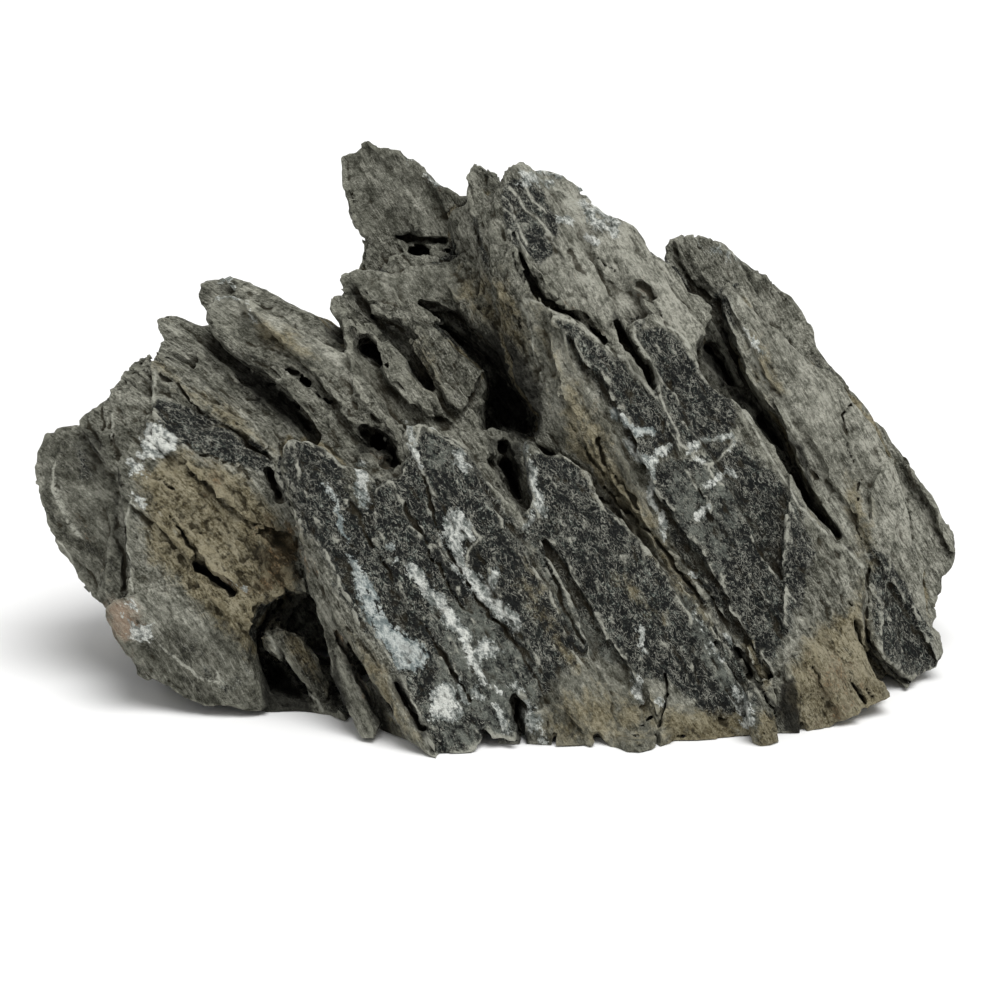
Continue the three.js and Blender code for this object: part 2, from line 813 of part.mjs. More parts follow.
// What is missing: the cleft, the cave, the long crack and the gaps that split the plates.
function openings() {
  return [
    // the deep cleft between the halves
    leaf({
      face: { at: [500, 380], depth: -30, right: 0, up: 0 },
      thick: 68,
      taper: 0.9,
      seed: 80,
      bend: 0.5,
      outline: [
        [420, 299], [438, 301], [452, 314], [470, 325], [488, 343], [505, 356], [520, 375],
        [536, 392], [541, 404], [540, 436], [524, 430], [506, 424], [484, 430], [482, 402],
        [487, 374], [483, 357], [468, 346], [452, 334], [438, 316],
      ],
    }),
    // hollows in the shelf
    leaf({
      face: { at: [400, 345], depth: -10, right: 0, up: 0 },
      thick: 31,
      taper: 0.8,
      seed: 81,
      bend: 0.5,
      outline: [
        [376, 322], [394, 322], [410, 333], [420, 348], [430, 366], [440, 384], [432, 390],
        [418, 372], [404, 352], [386, 338],
      ],
    }),
    leaf({
      face: { at: [362, 345], depth: -10, right: 0, up: 0 },
      thick: 38,
      taper: 0.8,
      seed: 82,
      bend: 0.5,
      outline: [
        [350, 329], [364, 328], [376, 338], [384, 354], [385, 369], [372, 362], [358, 354],
        [347, 344],
      ],
    }),
    // hollows at the foot of the far spire
    leaf({
      face: { at: [410, 235], depth: 0, right: 0, up: 0 },
      thick: 44,
      taper: 0.8,
      seed: 83,
      bend: 0.5,
      outline: [[394, 238], [400, 227], [414, 226], [424, 230], [432, 240], [416, 243]],
    }),
    leaf({
      face: { at: [446, 238], depth: 0, right: 0, up: 0 },
      thick: 42,
      taper: 0.8,
      seed: 84,
      bend: 0.5,
      outline: [[434, 232], [446, 230], [460, 236], [460, 248], [446, 246]],
    }),
    // the notch between the front blades
    leaf({
      face: { at: [505, 470], depth: -30, right: 0, up: 0 },
      thick: 40,
      taper: 0.85,
      seed: 95,
      bend: 0.4,
      outline: [
        [492, 452], [504, 448], [516, 452], [524, 462], [527, 486], [528, 513], [514, 502],
        [502, 490], [492, 476], [486, 462],
      ],
    }),
    // holes behind the front blades
    leaf({
      face: { at: [370, 440], depth: -30, right: 0, up: 0 },
      thick: 54,
      taper: 0.7,
      seed: 85,
      bend: 0.5,
      outline: [
        [357, 428], [366, 422], [378, 428], [384, 440], [380, 452], [366, 454], [356, 444],
      ],
    }),
    leaf({
      face: { at: [294, 372], depth: -20, right: 0, up: 0 },
      thick: 36,
      taper: 0.7,
      seed: 86,
      bend: 0.5,
      outline: [[284, 366], [294, 364], [306, 374], [304, 384], [292, 380]],
    }),
    // the cave under the left half
    leaf({
      face: { at: [300, 660], depth: -40, right: 0, up: 0 },
      thick: 62,
      taper: 0.85,
      seed: 87,
      outline: [
        [266, 730], [264, 700], [256, 660], [254, 634], [262, 618], [278, 600], [296, 592],
        [306, 600], [316, 640], [328, 676], [348, 730],
      ],
    }),
    // the long crack between the great plate and the right-hand plate
    leaf({
      face: { at: [780, 440], depth: -16, right: 0.3, up: 0.3 },
      thick: 36,
      taper: 0.96,
      seed: 88,
      bend: 0.4,
      outline: [
        [702, 340], [710, 326], [722, 332], [734, 350], [748, 372], [764, 392], [780, 410],
        [796, 428], [806, 448], [812, 470], [822, 492], [838, 514], [856, 540], [856, 550],
        [838, 532], [818, 512], [804, 486], [792, 464], [774, 438], [756, 416], [742, 400],
        [722, 386], [704, 366],
      ],
    }),
    // the gap over the top of the great plate
    leaf({
      face: { at: [570, 310], depth: -8, right: 0.2, up: 0.3 },
      thick: 22,
      taper: 0.96,
      seed: 89,
      bend: 0.3,
      outline: [
        [509, 222], [520, 244], [534, 267], [548, 290], [566, 302], [592, 315], [612, 334],
        [610, 342], [588, 330], [562, 312], [542, 297], [528, 276], [514, 250],
      ],
    }),
    // the slot in the great plate
    leaf({
      face: { at: [634, 345], depth: -8, right: 0.1, up: 0.33 },
      thick: 20,
      seed: 90,
      bend: 0.2,
      outline: [
        [613, 314], [622, 315], [630, 330], [642, 352], [653, 364], [659, 380], [655, 392],
        [646, 384], [638, 366], [626, 344],
      ],
    }),
    // notches in the foot
    leaf({
      face: { at: [526, 730], depth: -60, right: 0, up: 0 },
      thick: 46,
      seed: 91,
      bend: 0.3,
      outline: [[513, 699], [526, 716], [538, 738], [546, 775], [519, 775], [519, 738]],
    }),
    leaf({
      face: { at: [790, 700], depth: -40, right: 0, up: 0 },
      thick: 40,
      seed: 92,
      bend: 0.3,
      outline: [[786, 684], [797, 694], [794, 716], [782, 730], [779, 706]],
    }),
    leaf({
      face: { at: [745, 680], depth: -40, right: 0, up: 0 },
      thick: 34,
      seed: 93,
      bend: 0.3,
      outline: [
        [722, 634], [740, 656], [762, 682], [782, 712], [780, 722], [760, 706], [738, 672],
      ],
    }),
    // the crack beside the rusty toe
    leaf({
      face: { at: [880, 660], depth: -30, right: 0, up: 0 },
      thick: 34,
      seed: 94,
      bend: 0.3,
      outline: [
        [867, 596], [872, 630], [880, 652], [890, 668], [906, 690], [898, 694], [882, 676],
        [872, 656], [866, 632],
      ],
    }),
  ];
}

// A number from -1 to 1 that stays the same for the same count.
function chance(count) {
  const turn = Math.sin(count * 12.9898) * 43758.5453;
  return 2 * (turn - Math.floor(turn)) - 1;
}

// Slate splits into sheets along its grain. Each sheet is cut out and slid along the sight
// line by its own amount, its far half more than its front half.
function slideSheets(solid) {
  const slices = [];
  const p = new THREE.Vector3();
  for (let k = 0, start = -SHEETS_REACH; start < SHEETS_REACH; k++) {
    const wide = SHEET * (1 + 0.55 * chance(k));
    const halves = [
      { from: -HALF_DEPTH, to: 16, slide: FRONT_SLIDE * chance(k + 100) ** 3 },
      { from: 6, to: HALF_DEPTH, slide: BACK_SLIDE * chance(k + 200) },
    ];
    for (const { from, to, slide } of halves) {
      const room = new THREE.BoxGeometry(REACH, wide + 0.4, to - from, 44, 1, 10);
      room.translate(0, start + wide / 2, -(from + to) / 2);
      const place = room.attributes.position;
      for (let i = 0; i < place.count; i++) {
        p.fromBufferAttribute(place, i);
        p.y -= CURL * Math.min(p.x, 0) ** 2 * THREE.MathUtils.smoothstep(-p.y, -10, 30);
        p.applyAxisAngle(SIGHT, GRAIN_TURN);
        p.addScaledVector(bendAt(p, 0).setZ(0), 2);
        place.setXYZ(i, p.x, p.y, p.z);
      }
      slices.push(solid.intersect(solidOf(room)).translate(0, 0, -slide));
    }
    start += wide;
  }
  return joined(slices);
}

// What the underside lacks: uneven ground whose top rises into the stone here and there.
// Where it stays below the table, mostly near the rim, the stone keeps a flat foot.
function belly() {
  const ground = new THREE.BoxGeometry(260, 180, 20, 34, 24, 1).translate(0, 0, -10);
  const place = ground.attributes.position;
  for (let i = 0; i < place.count; i++) {
    if (place.getZ(i) < -1) continue;
    const x = place.getX(i);
    const y = place.getY(i);
    const lumps = noise.noise(x / 27, y / 27, 4.5);
    const sheets = noise.noise(x / 7, y / 40, 8.5);
    const rim = THREE.MathUtils.smoothstep(Math.hypot(x / 90, y / 52), 0.6, 0.92);
    place.setZ(i, BELLY * (0.35 + 0.9 * lumps + 0.5 * sheets - 1.3 * rim));
  }
  return solidOf(ground);
}

// Everything over the table, without what the underside lacks.
function standOnTable(solid) {
  const room = new THREE.BoxGeometry(REACH, REACH, REACH).translate(0, 0, REACH / 2);
  return solid.intersect(solidOf(room)).subtract(belly());
}

function stone() {
  const leaves = joined([
    ...heartAndBack(),
    ...leftLeaves(),
    ...middleLeaves(),
    ...cleftWall(),
    ...rightLeaves(),
    ...frontLeaves(),
    ...frontSplinters(),
  ]);
  const opened = leaves.subtract(joined(openings()));
  const thinned = thinOut(skinOf(geometryOf(slideSheets(opened))));
  const placed = solidOf(thinned.applyMatrix4(sightFrame));
  const geometry = skinOf(geometryOf(standOnTable(placed)));
  geometry.computeBoundingBox();
  const middle = geometry.boundingBox.getCenter(new THREE.Vector3());
  geometry.translate(-middle.x, -middle.y, 0);
  return geometry;
}

const slate = new THREE.MeshStandardMaterial({ color: 0x5d5e57, roughness: 0.9, metalness: 0 });
const rock = new THREE.Mesh(stone(), slate);
rock.name = "rock";

const part = new THREE.Group();
part.add(rock);

export default part;
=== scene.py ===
import math
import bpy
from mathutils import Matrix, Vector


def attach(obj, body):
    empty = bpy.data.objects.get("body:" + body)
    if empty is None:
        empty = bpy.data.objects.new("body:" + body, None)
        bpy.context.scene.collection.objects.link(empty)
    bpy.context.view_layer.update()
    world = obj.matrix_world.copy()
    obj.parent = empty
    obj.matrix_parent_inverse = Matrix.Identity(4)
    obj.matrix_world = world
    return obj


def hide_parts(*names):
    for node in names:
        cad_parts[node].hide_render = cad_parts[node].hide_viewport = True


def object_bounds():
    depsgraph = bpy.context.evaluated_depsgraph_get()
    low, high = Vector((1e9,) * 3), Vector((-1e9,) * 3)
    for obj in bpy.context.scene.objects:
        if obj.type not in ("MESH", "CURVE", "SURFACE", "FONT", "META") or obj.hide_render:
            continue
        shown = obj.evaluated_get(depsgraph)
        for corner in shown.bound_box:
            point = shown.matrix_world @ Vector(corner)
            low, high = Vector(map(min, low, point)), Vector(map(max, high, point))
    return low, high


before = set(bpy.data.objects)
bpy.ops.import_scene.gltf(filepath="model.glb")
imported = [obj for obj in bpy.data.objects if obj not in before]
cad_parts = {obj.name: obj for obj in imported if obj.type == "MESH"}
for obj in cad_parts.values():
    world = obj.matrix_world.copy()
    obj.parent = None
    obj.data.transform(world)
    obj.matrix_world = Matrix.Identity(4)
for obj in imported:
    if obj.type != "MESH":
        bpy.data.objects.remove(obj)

from concurrent.futures import ThreadPoolExecutor

import bpy
import numpy as np
import openvdb
from mathutils import Matrix, Vector

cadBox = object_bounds()  # the solid's own box, which the finished stone has to stay inside
metre = 1000.0  # the stone is worked out in millimetres
print("stage 1: the solid is loaded")

# How the picture was taken. Lengths in millimetres, places in the picture in pixels.
view = {
    "stoneWidth": 186.0,  # across the line of sight
    "stoneWidthPx": 932.0,  # the same in the picture
    "picturePx": 1000,  # the picture's width and height
    "eyeDistance": 550.0,
    "eyeDropDeg": 15.0,  # the eye looks down by this angle
    "aim": (-0.609, -11.121, 38.4),  # the point that lies in the picture's middle
}
mmPerPx = view["stoneWidth"] / view["stoneWidthPx"]
middlePx = view["picturePx"] / 2
dropSin = math.sin(math.radians(view["eyeDropDeg"]))
dropCos = math.cos(math.radians(view["eyeDropDeg"]))

# How the stone is cleft. The sheets run down to the right, and curl over at the upper left.
cleavage = {
    "turnDeg": -60.0,
    "curl": 0.0035,
    "curlFrom": -10.0,
    "curlTo": 30.0,
}

# The making of the surface. Lengths in millimetres.
surface = {
    "voxel": 0.42,
    "halfBand": 6,  # the field is kept this many voxels to both sides of the surface
    "reliefReach": 2.4,  # only points this near to the surface are worked out
    "wander": 0.9,  # how far the solid's ruled edges wander, over 8 mm
    "smallWander": 0.35,  # and over 2.5 mm
    "sheet": 0.3,  # height of the broad waves along the grain
    "leaf": 0.8,  # of the sharp edges of the thin leaves
    "leafWidth": 2.7,
    "bark": 0.6,  # of the narrow grooves along the grain
    "flake": 0.75,  # of the steps where flakes have come off
    "chip": 0.4,  # of the smaller steps on them
    "edgeChip": 1.0,  # how far the sharp edges are broken back
    "lump": 0.25,
    "grit": 0.12,
    "crumble": 0.75,  # on the rough, weathered places
    "footKeep": 1.2,  # the relief fades out over this height above the table
    "inset": 0.05,  # the stone stays this far inside the solid's box
    "triangles": 190000,
    "sharpDeg": 36,  # triangles that meet at a larger angle have a crisp edge
    "seenFiner": 2.5,  # how much more the seen side keeps of its small triangles
}


def smooth(value, low, high):
    part = np.clip((value - low) / (high - low), 0.0, 1.0)
    return part * part * (3.0 - 2.0 * part)


latticeSide = 64
lattice = (np.random.RandomState(11).rand(latticeSide ** 3) * 2 - 1).astype(np.float32)


def noise(points, size, seed=0):
    # smooth random values from -1 to 1, with lumps of the given size in each direction
    sizes = size if isinstance(size, tuple) else (size, size, size)
    low = []
    high = []
    part = []
    for k in range(3):
        place = points[k] / np.float32(sizes[k]) + np.float32(seed * (3.17 + 1.31 * k))
        floor = np.floor(place)
        rest = place - floor
        part.append(rest * rest * (3 - 2 * rest))
        cell = floor.astype(np.int32)
        low.append(cell & (latticeSide - 1))
        high.append((cell + 1) & (latticeSide - 1))
    total = []
    for x in (low[0], high[0]):
        pair = []
        for y in (low[1], high[1]):
            row = (x * latticeSide + y) * latticeSide
            near = lattice[row + low[2]]
            pair.append(near + (lattice[row + high[2]] - near) * part[2])
        total.append(pair[0] + (pair[1] - pair[0]) * part[1])
    return total[0] + (total[1] - total[0]) * part[0]


def layered(points, size, seed=0, octaves=3):
    sizes = size if isinstance(size, tuple) else (size, size, size)
    total = 0.0
    height = 1.0
    for k in range(octaves):
        total = total + height * noise(points, tuple(s / 2.03 ** k for s in sizes), seed + 7 * k)
        height *= 0.5
    return total / 1.6


def ridged(points, size, seed=0, octaves=3):
    # thin crests between round hollows, from 0 in the hollows to 1 on the crests
    total = 0.0
    height = 1.0
    for k in range(octaves):
        crest = 1 - np.abs(noise(points, tuple(s / 2.03 ** k for s in size), seed + 7 * k))
        total = total + height * crest * crest
        height *= 0.5
    return total / 1.75


def inParts(work, values):
    # the same work on slices of the values, side by side
    cuts = np.array_split(np.arange(values[0].size), 24)
    with ThreadPoolExecutor(4) as team:
        done = list(team.map(lambda cut: work([v[cut[0]:cut[-1] + 1] for v in values]), cuts))
    return np.concatenate(done)


def sightPlace(points):
    # across the picture, up in it and away from the eye
    x = points[0] - view["aim"][0]
    y = points[1] - view["aim"][1]
    z = points[2] - view["aim"][2]
    return x, y * dropSin + z * dropCos, y * dropCos - z * dropSin


def pixelPlace(x, up, depth):
    scale = mmPerPx * (1 + depth / view["eyeDistance"])
    return middlePx + x / scale, middlePx - up / scale


def worldPlace(px, py, depth):
    scale = mmPerPx * (1 + depth / view["eyeDistance"])
    x = (px - middlePx) * scale
    up = (middlePx - py) * scale
    return (
        x + view["aim"][0],
        up * dropSin + depth * dropCos + view["aim"][1],
        up * dropCos - depth * dropSin + view["aim"][2],
    )


def grainPlace(x, up, depth):
    turn = math.radians(cleavage["turnDeg"])
    along = x * math.cos(turn) + up * math.sin(turn)
    across = up * math.cos(turn) - x * math.sin(turn)
    curled = smooth(-across, cleavage["curlFrom"], cleavage["curlTo"])
    across = across + cleavage["curl"] * np.minimum(along, 0) ** 2 * curled
    return along, across, depth


# What lies where on the stone's seen side, in pixels. An outline is an area, a path is a line
# with a width in pixels. much is how strong it is, and soft how wide its edge is.
marks = {
    "fresh": [  # newly broken faces, dark and full of fine light specks
        {"outline": [(279, 452), (288, 439), (305, 441), (322, 445), (336, 458), (352, 500),
                     (364, 506), (370, 482), (400, 474), (408, 446), (423, 424), (448, 434),
                     (474, 449), (482, 480), (500, 500), (524, 540), (560, 600), (600, 650),
                     (566, 668), (540, 700), (520, 752), (440, 764), (418, 718), (384, 655),
                     (340, 590), (300, 520)], "soft": 18},
        {"outline": [(524, 462), (540, 447), (567, 460), (594, 478), (598, 494), (630, 525),
                     (660, 560), (700, 600), (736, 648), (758, 697), (754, 735), (700, 712), (664, 680),
                     (640, 680), (600, 655), (560, 600), (524, 530)], "soft": 18},
        {"outline": [(555, 318), (577, 325), (595, 340), (615, 356), (626, 360), (636, 380),
                     (645, 386), (657, 397), (665, 412), (675, 432), (684, 450), (650, 458),
                     (640, 455), (626, 442), (615, 410), (606, 397), (592, 380), (580, 360),
                     (565, 337)], "soft": 10},
        {"outline": [(635, 329), (647, 330), (662, 326), (676, 337), (687, 350), (700, 365),
                     (715, 380), (727, 395), (735, 407), (737, 417), (732, 435), (715, 442),
                     (690, 456), (674, 438), (662, 420), (652, 402), (648, 390), (654, 372),
                     (648, 357), (638, 342)], "soft": 10},
        {"outline": [(629, 319), (639, 314), (645, 319), (644, 326), (635, 328)], "soft": 7},
        {"outline": [(655, 462), (700, 452), (735, 440), (770, 470), (800, 500), (815, 560),
                     (800, 600), (780, 650), (765, 690), (730, 630), (690, 575), (665, 530),
                     (652, 490)], "soft": 18},
        {"outline": [(866, 540), (888, 556), (915, 600), (932, 640), (938, 670), (905, 676),
                     (880, 650), (866, 600)], "soft": 9},
        {"outline": [(718, 292), (734, 296), (736, 326), (722, 332), (714, 312)]},
        {"outline": [(152, 404), (158, 396), (185, 406), (213, 417), (241, 431), (268, 446),
                     (276, 480), (252, 468), (230, 462), (202, 455), (180, 446), (163, 430)],
         "much": 0.95, "soft": 9},
        {"outline": [(504, 186), (521, 180), (540, 192), (554, 225), (554, 252), (538, 260),
                     (524, 240), (508, 215)]},
        {"outline": [(500, 196), (506, 182), (521, 178), (542, 190), (556, 213), (557, 236),
                     (552, 256), (537, 264), (524, 250), (510, 240), (501, 216)], "soft": 10},
        {"outline": [(64, 440), (98, 432), (98, 488), (72, 488)], "much": 0.5},
        {"outline": [(165, 640), (200, 632), (262, 660), (262, 705), (200, 700)], "much": 0.4},
        {"path": [(473, 219), (480, 245), (491, 273)], "wide": 9, "much": 0.8},
    ],
    "haze": [  # light dust of crystals over the fresh faces
        {"outline": [(650, 455), (700, 460), (738, 472), (744, 540), (718, 600), (690, 560),
                     (665, 510)], "much": 0.7},
        {"outline": [(660, 590), (690, 600), (740, 680), (720, 700), (680, 650)], "much": 0.6},
        {"outline": [(430, 590), (480, 600), (530, 640), (552, 700), (530, 748), (440, 762),
                     (422, 700)], "much": 0.9, "soft": 20},
        {"outline": [(524, 520), (580, 590), (650, 680), (610, 690), (560, 650)], "much": 0.8,
         "soft": 20},
        {"path": [(686, 602), (703, 637), (727, 678), (745, 705), (753, 722)], "wide": 24,
         "soft": 10},
        {"outline": [(404, 424), (423, 424), (448, 434), (478, 452), (470, 475), (424, 478)],
         "much": 0.7},
        {"outline": [(310, 470), (345, 500), (372, 560), (340, 560), (312, 510)], "much": 0.25},
        {"outline": [(556, 322), (600, 352), (630, 390), (600, 380)], "much": 0.2},
        {"outline": [(873, 560), (915, 610), (930, 650), (890, 640)], "much": 0.4},
        {"outline": [(504, 186), (521, 180), (540, 192), (554, 225), (554, 252), (538, 260),
                     (524, 240), (508, 215)], "much": 0.3},
    ],
    "rim": [  # thin light lines, most of them a painted highlight where a face ends, some light hairlines in the stone
        {"path": [(285, 500), (278, 470), (279, 452), (288, 439), (305, 441), (322, 445),
                  (336, 458)], "wide": 4},
        {"path": [(412, 446), (423, 424), (448, 434), (470, 448), (477, 462)], "wide": 5},
        {"path": [(407, 422), (411, 445), (420, 465), (436, 497)], "wide": 5, "much": 0.9},
        {"path": [(634, 331), (640, 347), (650, 359), (657, 369), (659, 382), (661, 398),
                  (668, 415), (678, 436), (693, 456)], "wide": 4},
        {"path": [(555, 315), (577, 321), (594, 336), (615, 353), (625, 357)], "wide": 6,
         "much": 0.9},
        {"path": [(660, 324), (680, 336), (703, 361), (723, 381), (737, 388), (748, 408),
                  (760, 420)], "wide": 8, "much": 0.9},
        {"path": [(626, 360), (633, 373), (643, 384)], "wide": 6},
        {"path": [(362, 611), (387, 655), (421, 718), (430, 751)], "wide": 4, "much": 0.9},
        {"path": [(688, 470), (697, 489)], "wide": 4, "much": 0.8},
        {"path": [(111, 414), (111, 440), (119, 460)], "wide": 3, "much": 0.8},
        {"path": [(90, 408), (88, 425), (102, 442)], "wide": 3, "much": 0.7},
        {"path": [(55, 464), (51, 475), (55, 494), (66, 519), (80, 539)], "wide": 4,
         "much": 0.9},
        {"path": [(60, 541), (74, 564)], "wide": 5, "much": 0.9},
        {"path": [(127, 505), (124, 533), (130, 556), (133, 589)], "wide": 6, "much": 0.9},
        {"path": [(141, 494), (155, 511), (180, 533)], "wide": 4, "much": 0.6},
        {"path": [(266, 634), (280, 655), (300, 684), (324, 710)], "wide": 4},
        {"path": [(572, 452), (600, 478), (598, 494), (640, 536), (662, 560)], "wide": 3,
         "much": 0.7},
        {"path": [(508, 188), (518, 196), (527, 212), (541, 226), (552, 238)], "wide": 3},
        {"path": [(521, 182), (531, 196), (546, 212)], "wide": 3, "much": 0.9},
        {"path": [(510, 206), (519, 228), (528, 246)], "wide": 3, "much": 0.9},
        {"path": [(591, 258), (592, 270), (586, 284)], "wide": 3, "much": 0.8},
        {"path": [(545, 238), (566, 252), (590, 262), (612, 284)], "wide": 3, "much": 0.8},
        {"path": [(560, 196), (584, 222), (612, 246), (640, 262)], "wide": 3, "much": 0.8},
        {"path": [(530, 176), (560, 190), (590, 214)], "wide": 3, "much": 0.9},
        {"path": [(690, 452), (702, 442), (718, 438), (732, 434)], "wide": 4},
        {"path": [(690, 456), (704, 463), (716, 462), (728, 449), (735, 441)], "wide": 4,
         "much": 0.9},
        {"path": [(703, 462), (712, 476), (722, 484)], "wide": 3, "much": 0.9},
        {"path": [(696, 520), (702, 512), (709, 505)], "wide": 4},
        {"path": [(612, 408), (622, 424), (634, 431), (654, 433)], "wide": 4},
        {"path": [(624, 441), (638, 455), (650, 464), (660, 449), (672, 444)], "wide": 4},
        {"path": [(650, 464), (652, 482), (650, 500), (657, 515), (663, 538)], "wide": 4},
        {"path": [(409, 566), (424, 585), (440, 598), (450, 620), (464, 634), (472, 650)],
         "wide": 3, "much": 0.8},
        {"path": [(459, 562), (476, 584), (500, 606), (514, 626)], "wide": 3, "much": 0.8},
        {"path": [(440, 540), (449, 557), (466, 566), (470, 552), (482, 540), (468, 520)],
         "wide": 3, "much": 0.9},
        {"path": [(660, 610), (690, 648), (716, 690)], "wide": 3, "much": 0.6},
        {"path": [(738, 300), (748, 330), (752, 356), (766, 390)], "wide": 3, "much": 0.8},
        {"path": [(790, 372), (812, 404), (834, 450)], "wide": 3, "much": 0.6},
        {"path": [(780, 290), (830, 350), (870, 412)], "wide": 3, "much": 0.6},
        {"path": [(860, 440), (900, 500), (940, 560)], "wide": 3, "much": 0.6},
        {"path": [(546, 330), (566, 372), (600, 430), (640, 500)], "wide": 3, "much": 0.6},
        {"path": [(60, 480), (64, 505), (84, 540)], "wide": 3, "much": 0.6},
        {"path": [(128, 606), (150, 614), (160, 628)], "wide": 3, "much": 0.7},
        {"path": [(158, 643), (185, 667), (204, 682), (221, 684), (216, 670)], "wide": 4,
         "much": 0.8},
        {"path": [(155, 374), (155, 397), (148, 416)], "wide": 5},
        {"path": [(520, 296), (530, 330), (541, 380)], "wide": 4, "much": 0.8},
        {"path": [(526, 300), (560, 312), (600, 340)], "wide": 4, "much": 0.7},
        {"path": [(736, 285), (745, 330), (765, 380), (800, 440), (850, 530)], "wide": 4,
         "much": 0.75},
        {"path": [(735, 400), (753, 426), (782, 474), (798, 504), (818, 524), (840, 542), (856, 560),
                  (867, 573), (868, 600)], "wide": 7},
        {"path": [(664, 238), (690, 236), (730, 252), (770, 286)], "wide": 4, "much": 0.7},
        {"path": [(497, 172), (520, 164), (560, 172), (610, 206), (655, 246)], "wide": 4,
         "much": 0.7},
        {"path": [(345, 150), (372, 143), (404, 160), (440, 182)], "wide": 4, "much": 0.6},
        {"path": [(524, 443), (530, 480), (540, 520)], "wide": 6, "much": 0.8},
        {"path": [(735, 640), (750, 662), (764, 684)], "wide": 3, "much": 0.8},
        {"path": [(697, 593), (716, 622), (724, 640)], "wide": 4, "much": 0.7},
        {"path": [(345, 275), (380, 272), (420, 290)], "wide": 4, "much": 0.6},
        {"path": [(197, 282), (230, 276), (270, 300), (330, 340)], "wide": 4, "much": 0.6},
        {"path": [(160, 322), (190, 326), (240, 372)], "wide": 4, "much": 0.6},
    ],
    "pale": [  # smooth weathered faces, light grey, with painted light on the faces turned towards the light
        {"outline": [(520, 165), (560, 170), (640, 235), (700, 300), (700, 350), (660, 325),
                     (615, 312), (570, 300), (540, 270), (555, 240), (548, 200)]},
        {"outline": [(735, 282), (790, 330), (860, 420), (880, 540), (850, 540), (800, 450),
                     (760, 400), (740, 340)]},
        {"outline": [(780, 290), (850, 380), (930, 490), (956, 550), (930, 600), (880, 560),
                     (870, 470), (800, 360)], "much": 0.9, "soft": 24},
        {"outline": [(134, 470), (178, 449), (238, 470), (250, 540), (230, 600), (170, 580)],
         "much": 0.6},
        {"outline": [(792, 676), (830, 640), (868, 610), (897, 700), (880, 735), (800, 737)],
         "much": 0.85},
        {"outline": [(200, 280), (240, 280), (420, 380), (400, 420), (300, 350), (210, 310)],
         "much": 0.6},
        {"outline": [(530, 300), (545, 300), (600, 400), (690, 570), (660, 560), (560, 440)],
         "much": 0.4},
        {"outline": [(345, 150), (400, 150), (450, 190), (440, 220), (390, 225), (350, 200)],
         "much": 0.5},
        {"outline": [(131, 600), (221, 600), (221, 632), (140, 640)], "much": 0.6},
        {"outline": [(302, 555), (333, 600), (377, 720), (360, 730), (328, 640)], "much": 0.5},
    ],
    "dull": [  # darker and greener than the rest, with painted shade on the lobes turned away from the light
        {"outline": [(345, 300), (400, 296), (470, 330), (492, 380), (490, 428), (440, 424),
                     (380, 402), (345, 360)], "soft": 20},
        {"outline": [(340, 143), (372, 140), (404, 155), (462, 190), (458, 262), (370, 268),
                     (350, 215)], "much": 0.55, "soft": 24},
        {"outline": [(36, 430), (90, 410), (125, 440), (130, 500), (120, 600), (80, 590),
                     (36, 500)], "much": 0.6, "soft": 24},
        {"outline": [(266, 634), (277, 625), (302, 636), (330, 686), (330, 706), (320, 711)],
         "soft": 8},
        {"outline": [(140, 630), (262, 640), (266, 712), (190, 706)], "soft": 24},
        {"outline": [(303, 590), (335, 612), (378, 736), (350, 730), (320, 660)], "much": 0.6},
        {"outline": [(350, 400), (405, 405), (405, 480), (350, 470)], "much": 0.6},
        {"outline": [(200, 325), (260, 350), (330, 410), (330, 440), (270, 420), (215, 370)],
         "much": 0.6},
        {"outline": [(800, 600), (826, 550), (850, 560), (850, 620), (812, 650)], "much": 0.45},
        {"outline": [(500, 268), (524, 290), (540, 340), (516, 330), (494, 290)], "much": 0.5},
    ],
    "lit": [  # keeps the painted shade of the hollows off what stands in the cave and other lit places
        {"outline": [(262, 632), (277, 622), (304, 634), (332, 686), (332, 708), (320, 713)],
         "soft": 6, "much": 0.45},
        {"path": [(550, 308), (575, 321), (606, 342)], "wide": 26, "much": 0.9},
        {"outline": [(740, 640), (752, 644), (774, 684), (772, 694), (760, 684)], "soft": 6},
        {"outline": [(674, 238), (692, 242), (712, 266), (730, 292), (716, 298), (700, 286)]},
        {"outline": [(716, 640), (735, 640), (772, 700), (768, 716), (752, 712)], "soft": 6,
         "much": 0.8},
    ],
    "tan": [  # earth stains
        {"outline": [(280, 624), (302, 634), (330, 686), (328, 700), (300, 664), (284, 644)],
         "soft": 8, "much": 0.9},
        {"outline": [(520, 296), (545, 300), (560, 340), (590, 400), (560, 410), (541, 380)],
         "much": 0.5},
        {"outline": [(560, 380), (580, 380), (610, 440), (690, 575), (724, 640), (700, 620),
                     (640, 535), (560, 450)], "much": 0.85},
        {"outline": [(455, 265), (500, 270), (525, 300), (540, 380), (500, 340), (450, 300)],
         "much": 0.7},
        {"outline": [(545, 695), (600, 680), (661, 692), (661, 750), (545, 752)], "soft": 26,
         "much": 0.75},
        {"path": [(520, 580), (545, 620), (577, 669)], "wide": 16, "much": 0.8, "soft": 10},
        {"path": [(618, 578), (640, 600), (657, 614)], "wide": 16, "much": 0.7, "soft": 10},
        {"outline": [(659, 705), (753, 712), (753, 753), (659, 753)]},
        {"outline": [(790, 668), (812, 628), (850, 604), (868, 560), (867, 620), (897, 700),
                     (880, 735), (800, 737), (786, 700)]},
        {"outline": [(134, 470), (178, 449), (238, 470), (300, 540), (300, 590), (255, 655),
                     (210, 620), (150, 560)]},
        {"outline": [(155, 362), (188, 385), (231, 408), (277, 452), (262, 450), (190, 398)]},
        {"outline": [(348, 625), (380, 660), (420, 735), (416, 751), (380, 720)], "much": 0.9},
        {"outline": [(736, 636), (752, 640), (774, 684), (766, 692), (752, 672)], "soft": 8},
        {"outline": [(752, 712), (780, 712), (780, 754), (752, 754)], "soft": 8, "much": 0.9},
        {"outline": [(413, 335), (437, 350), (440, 390), (415, 380)], "much": 0.7},
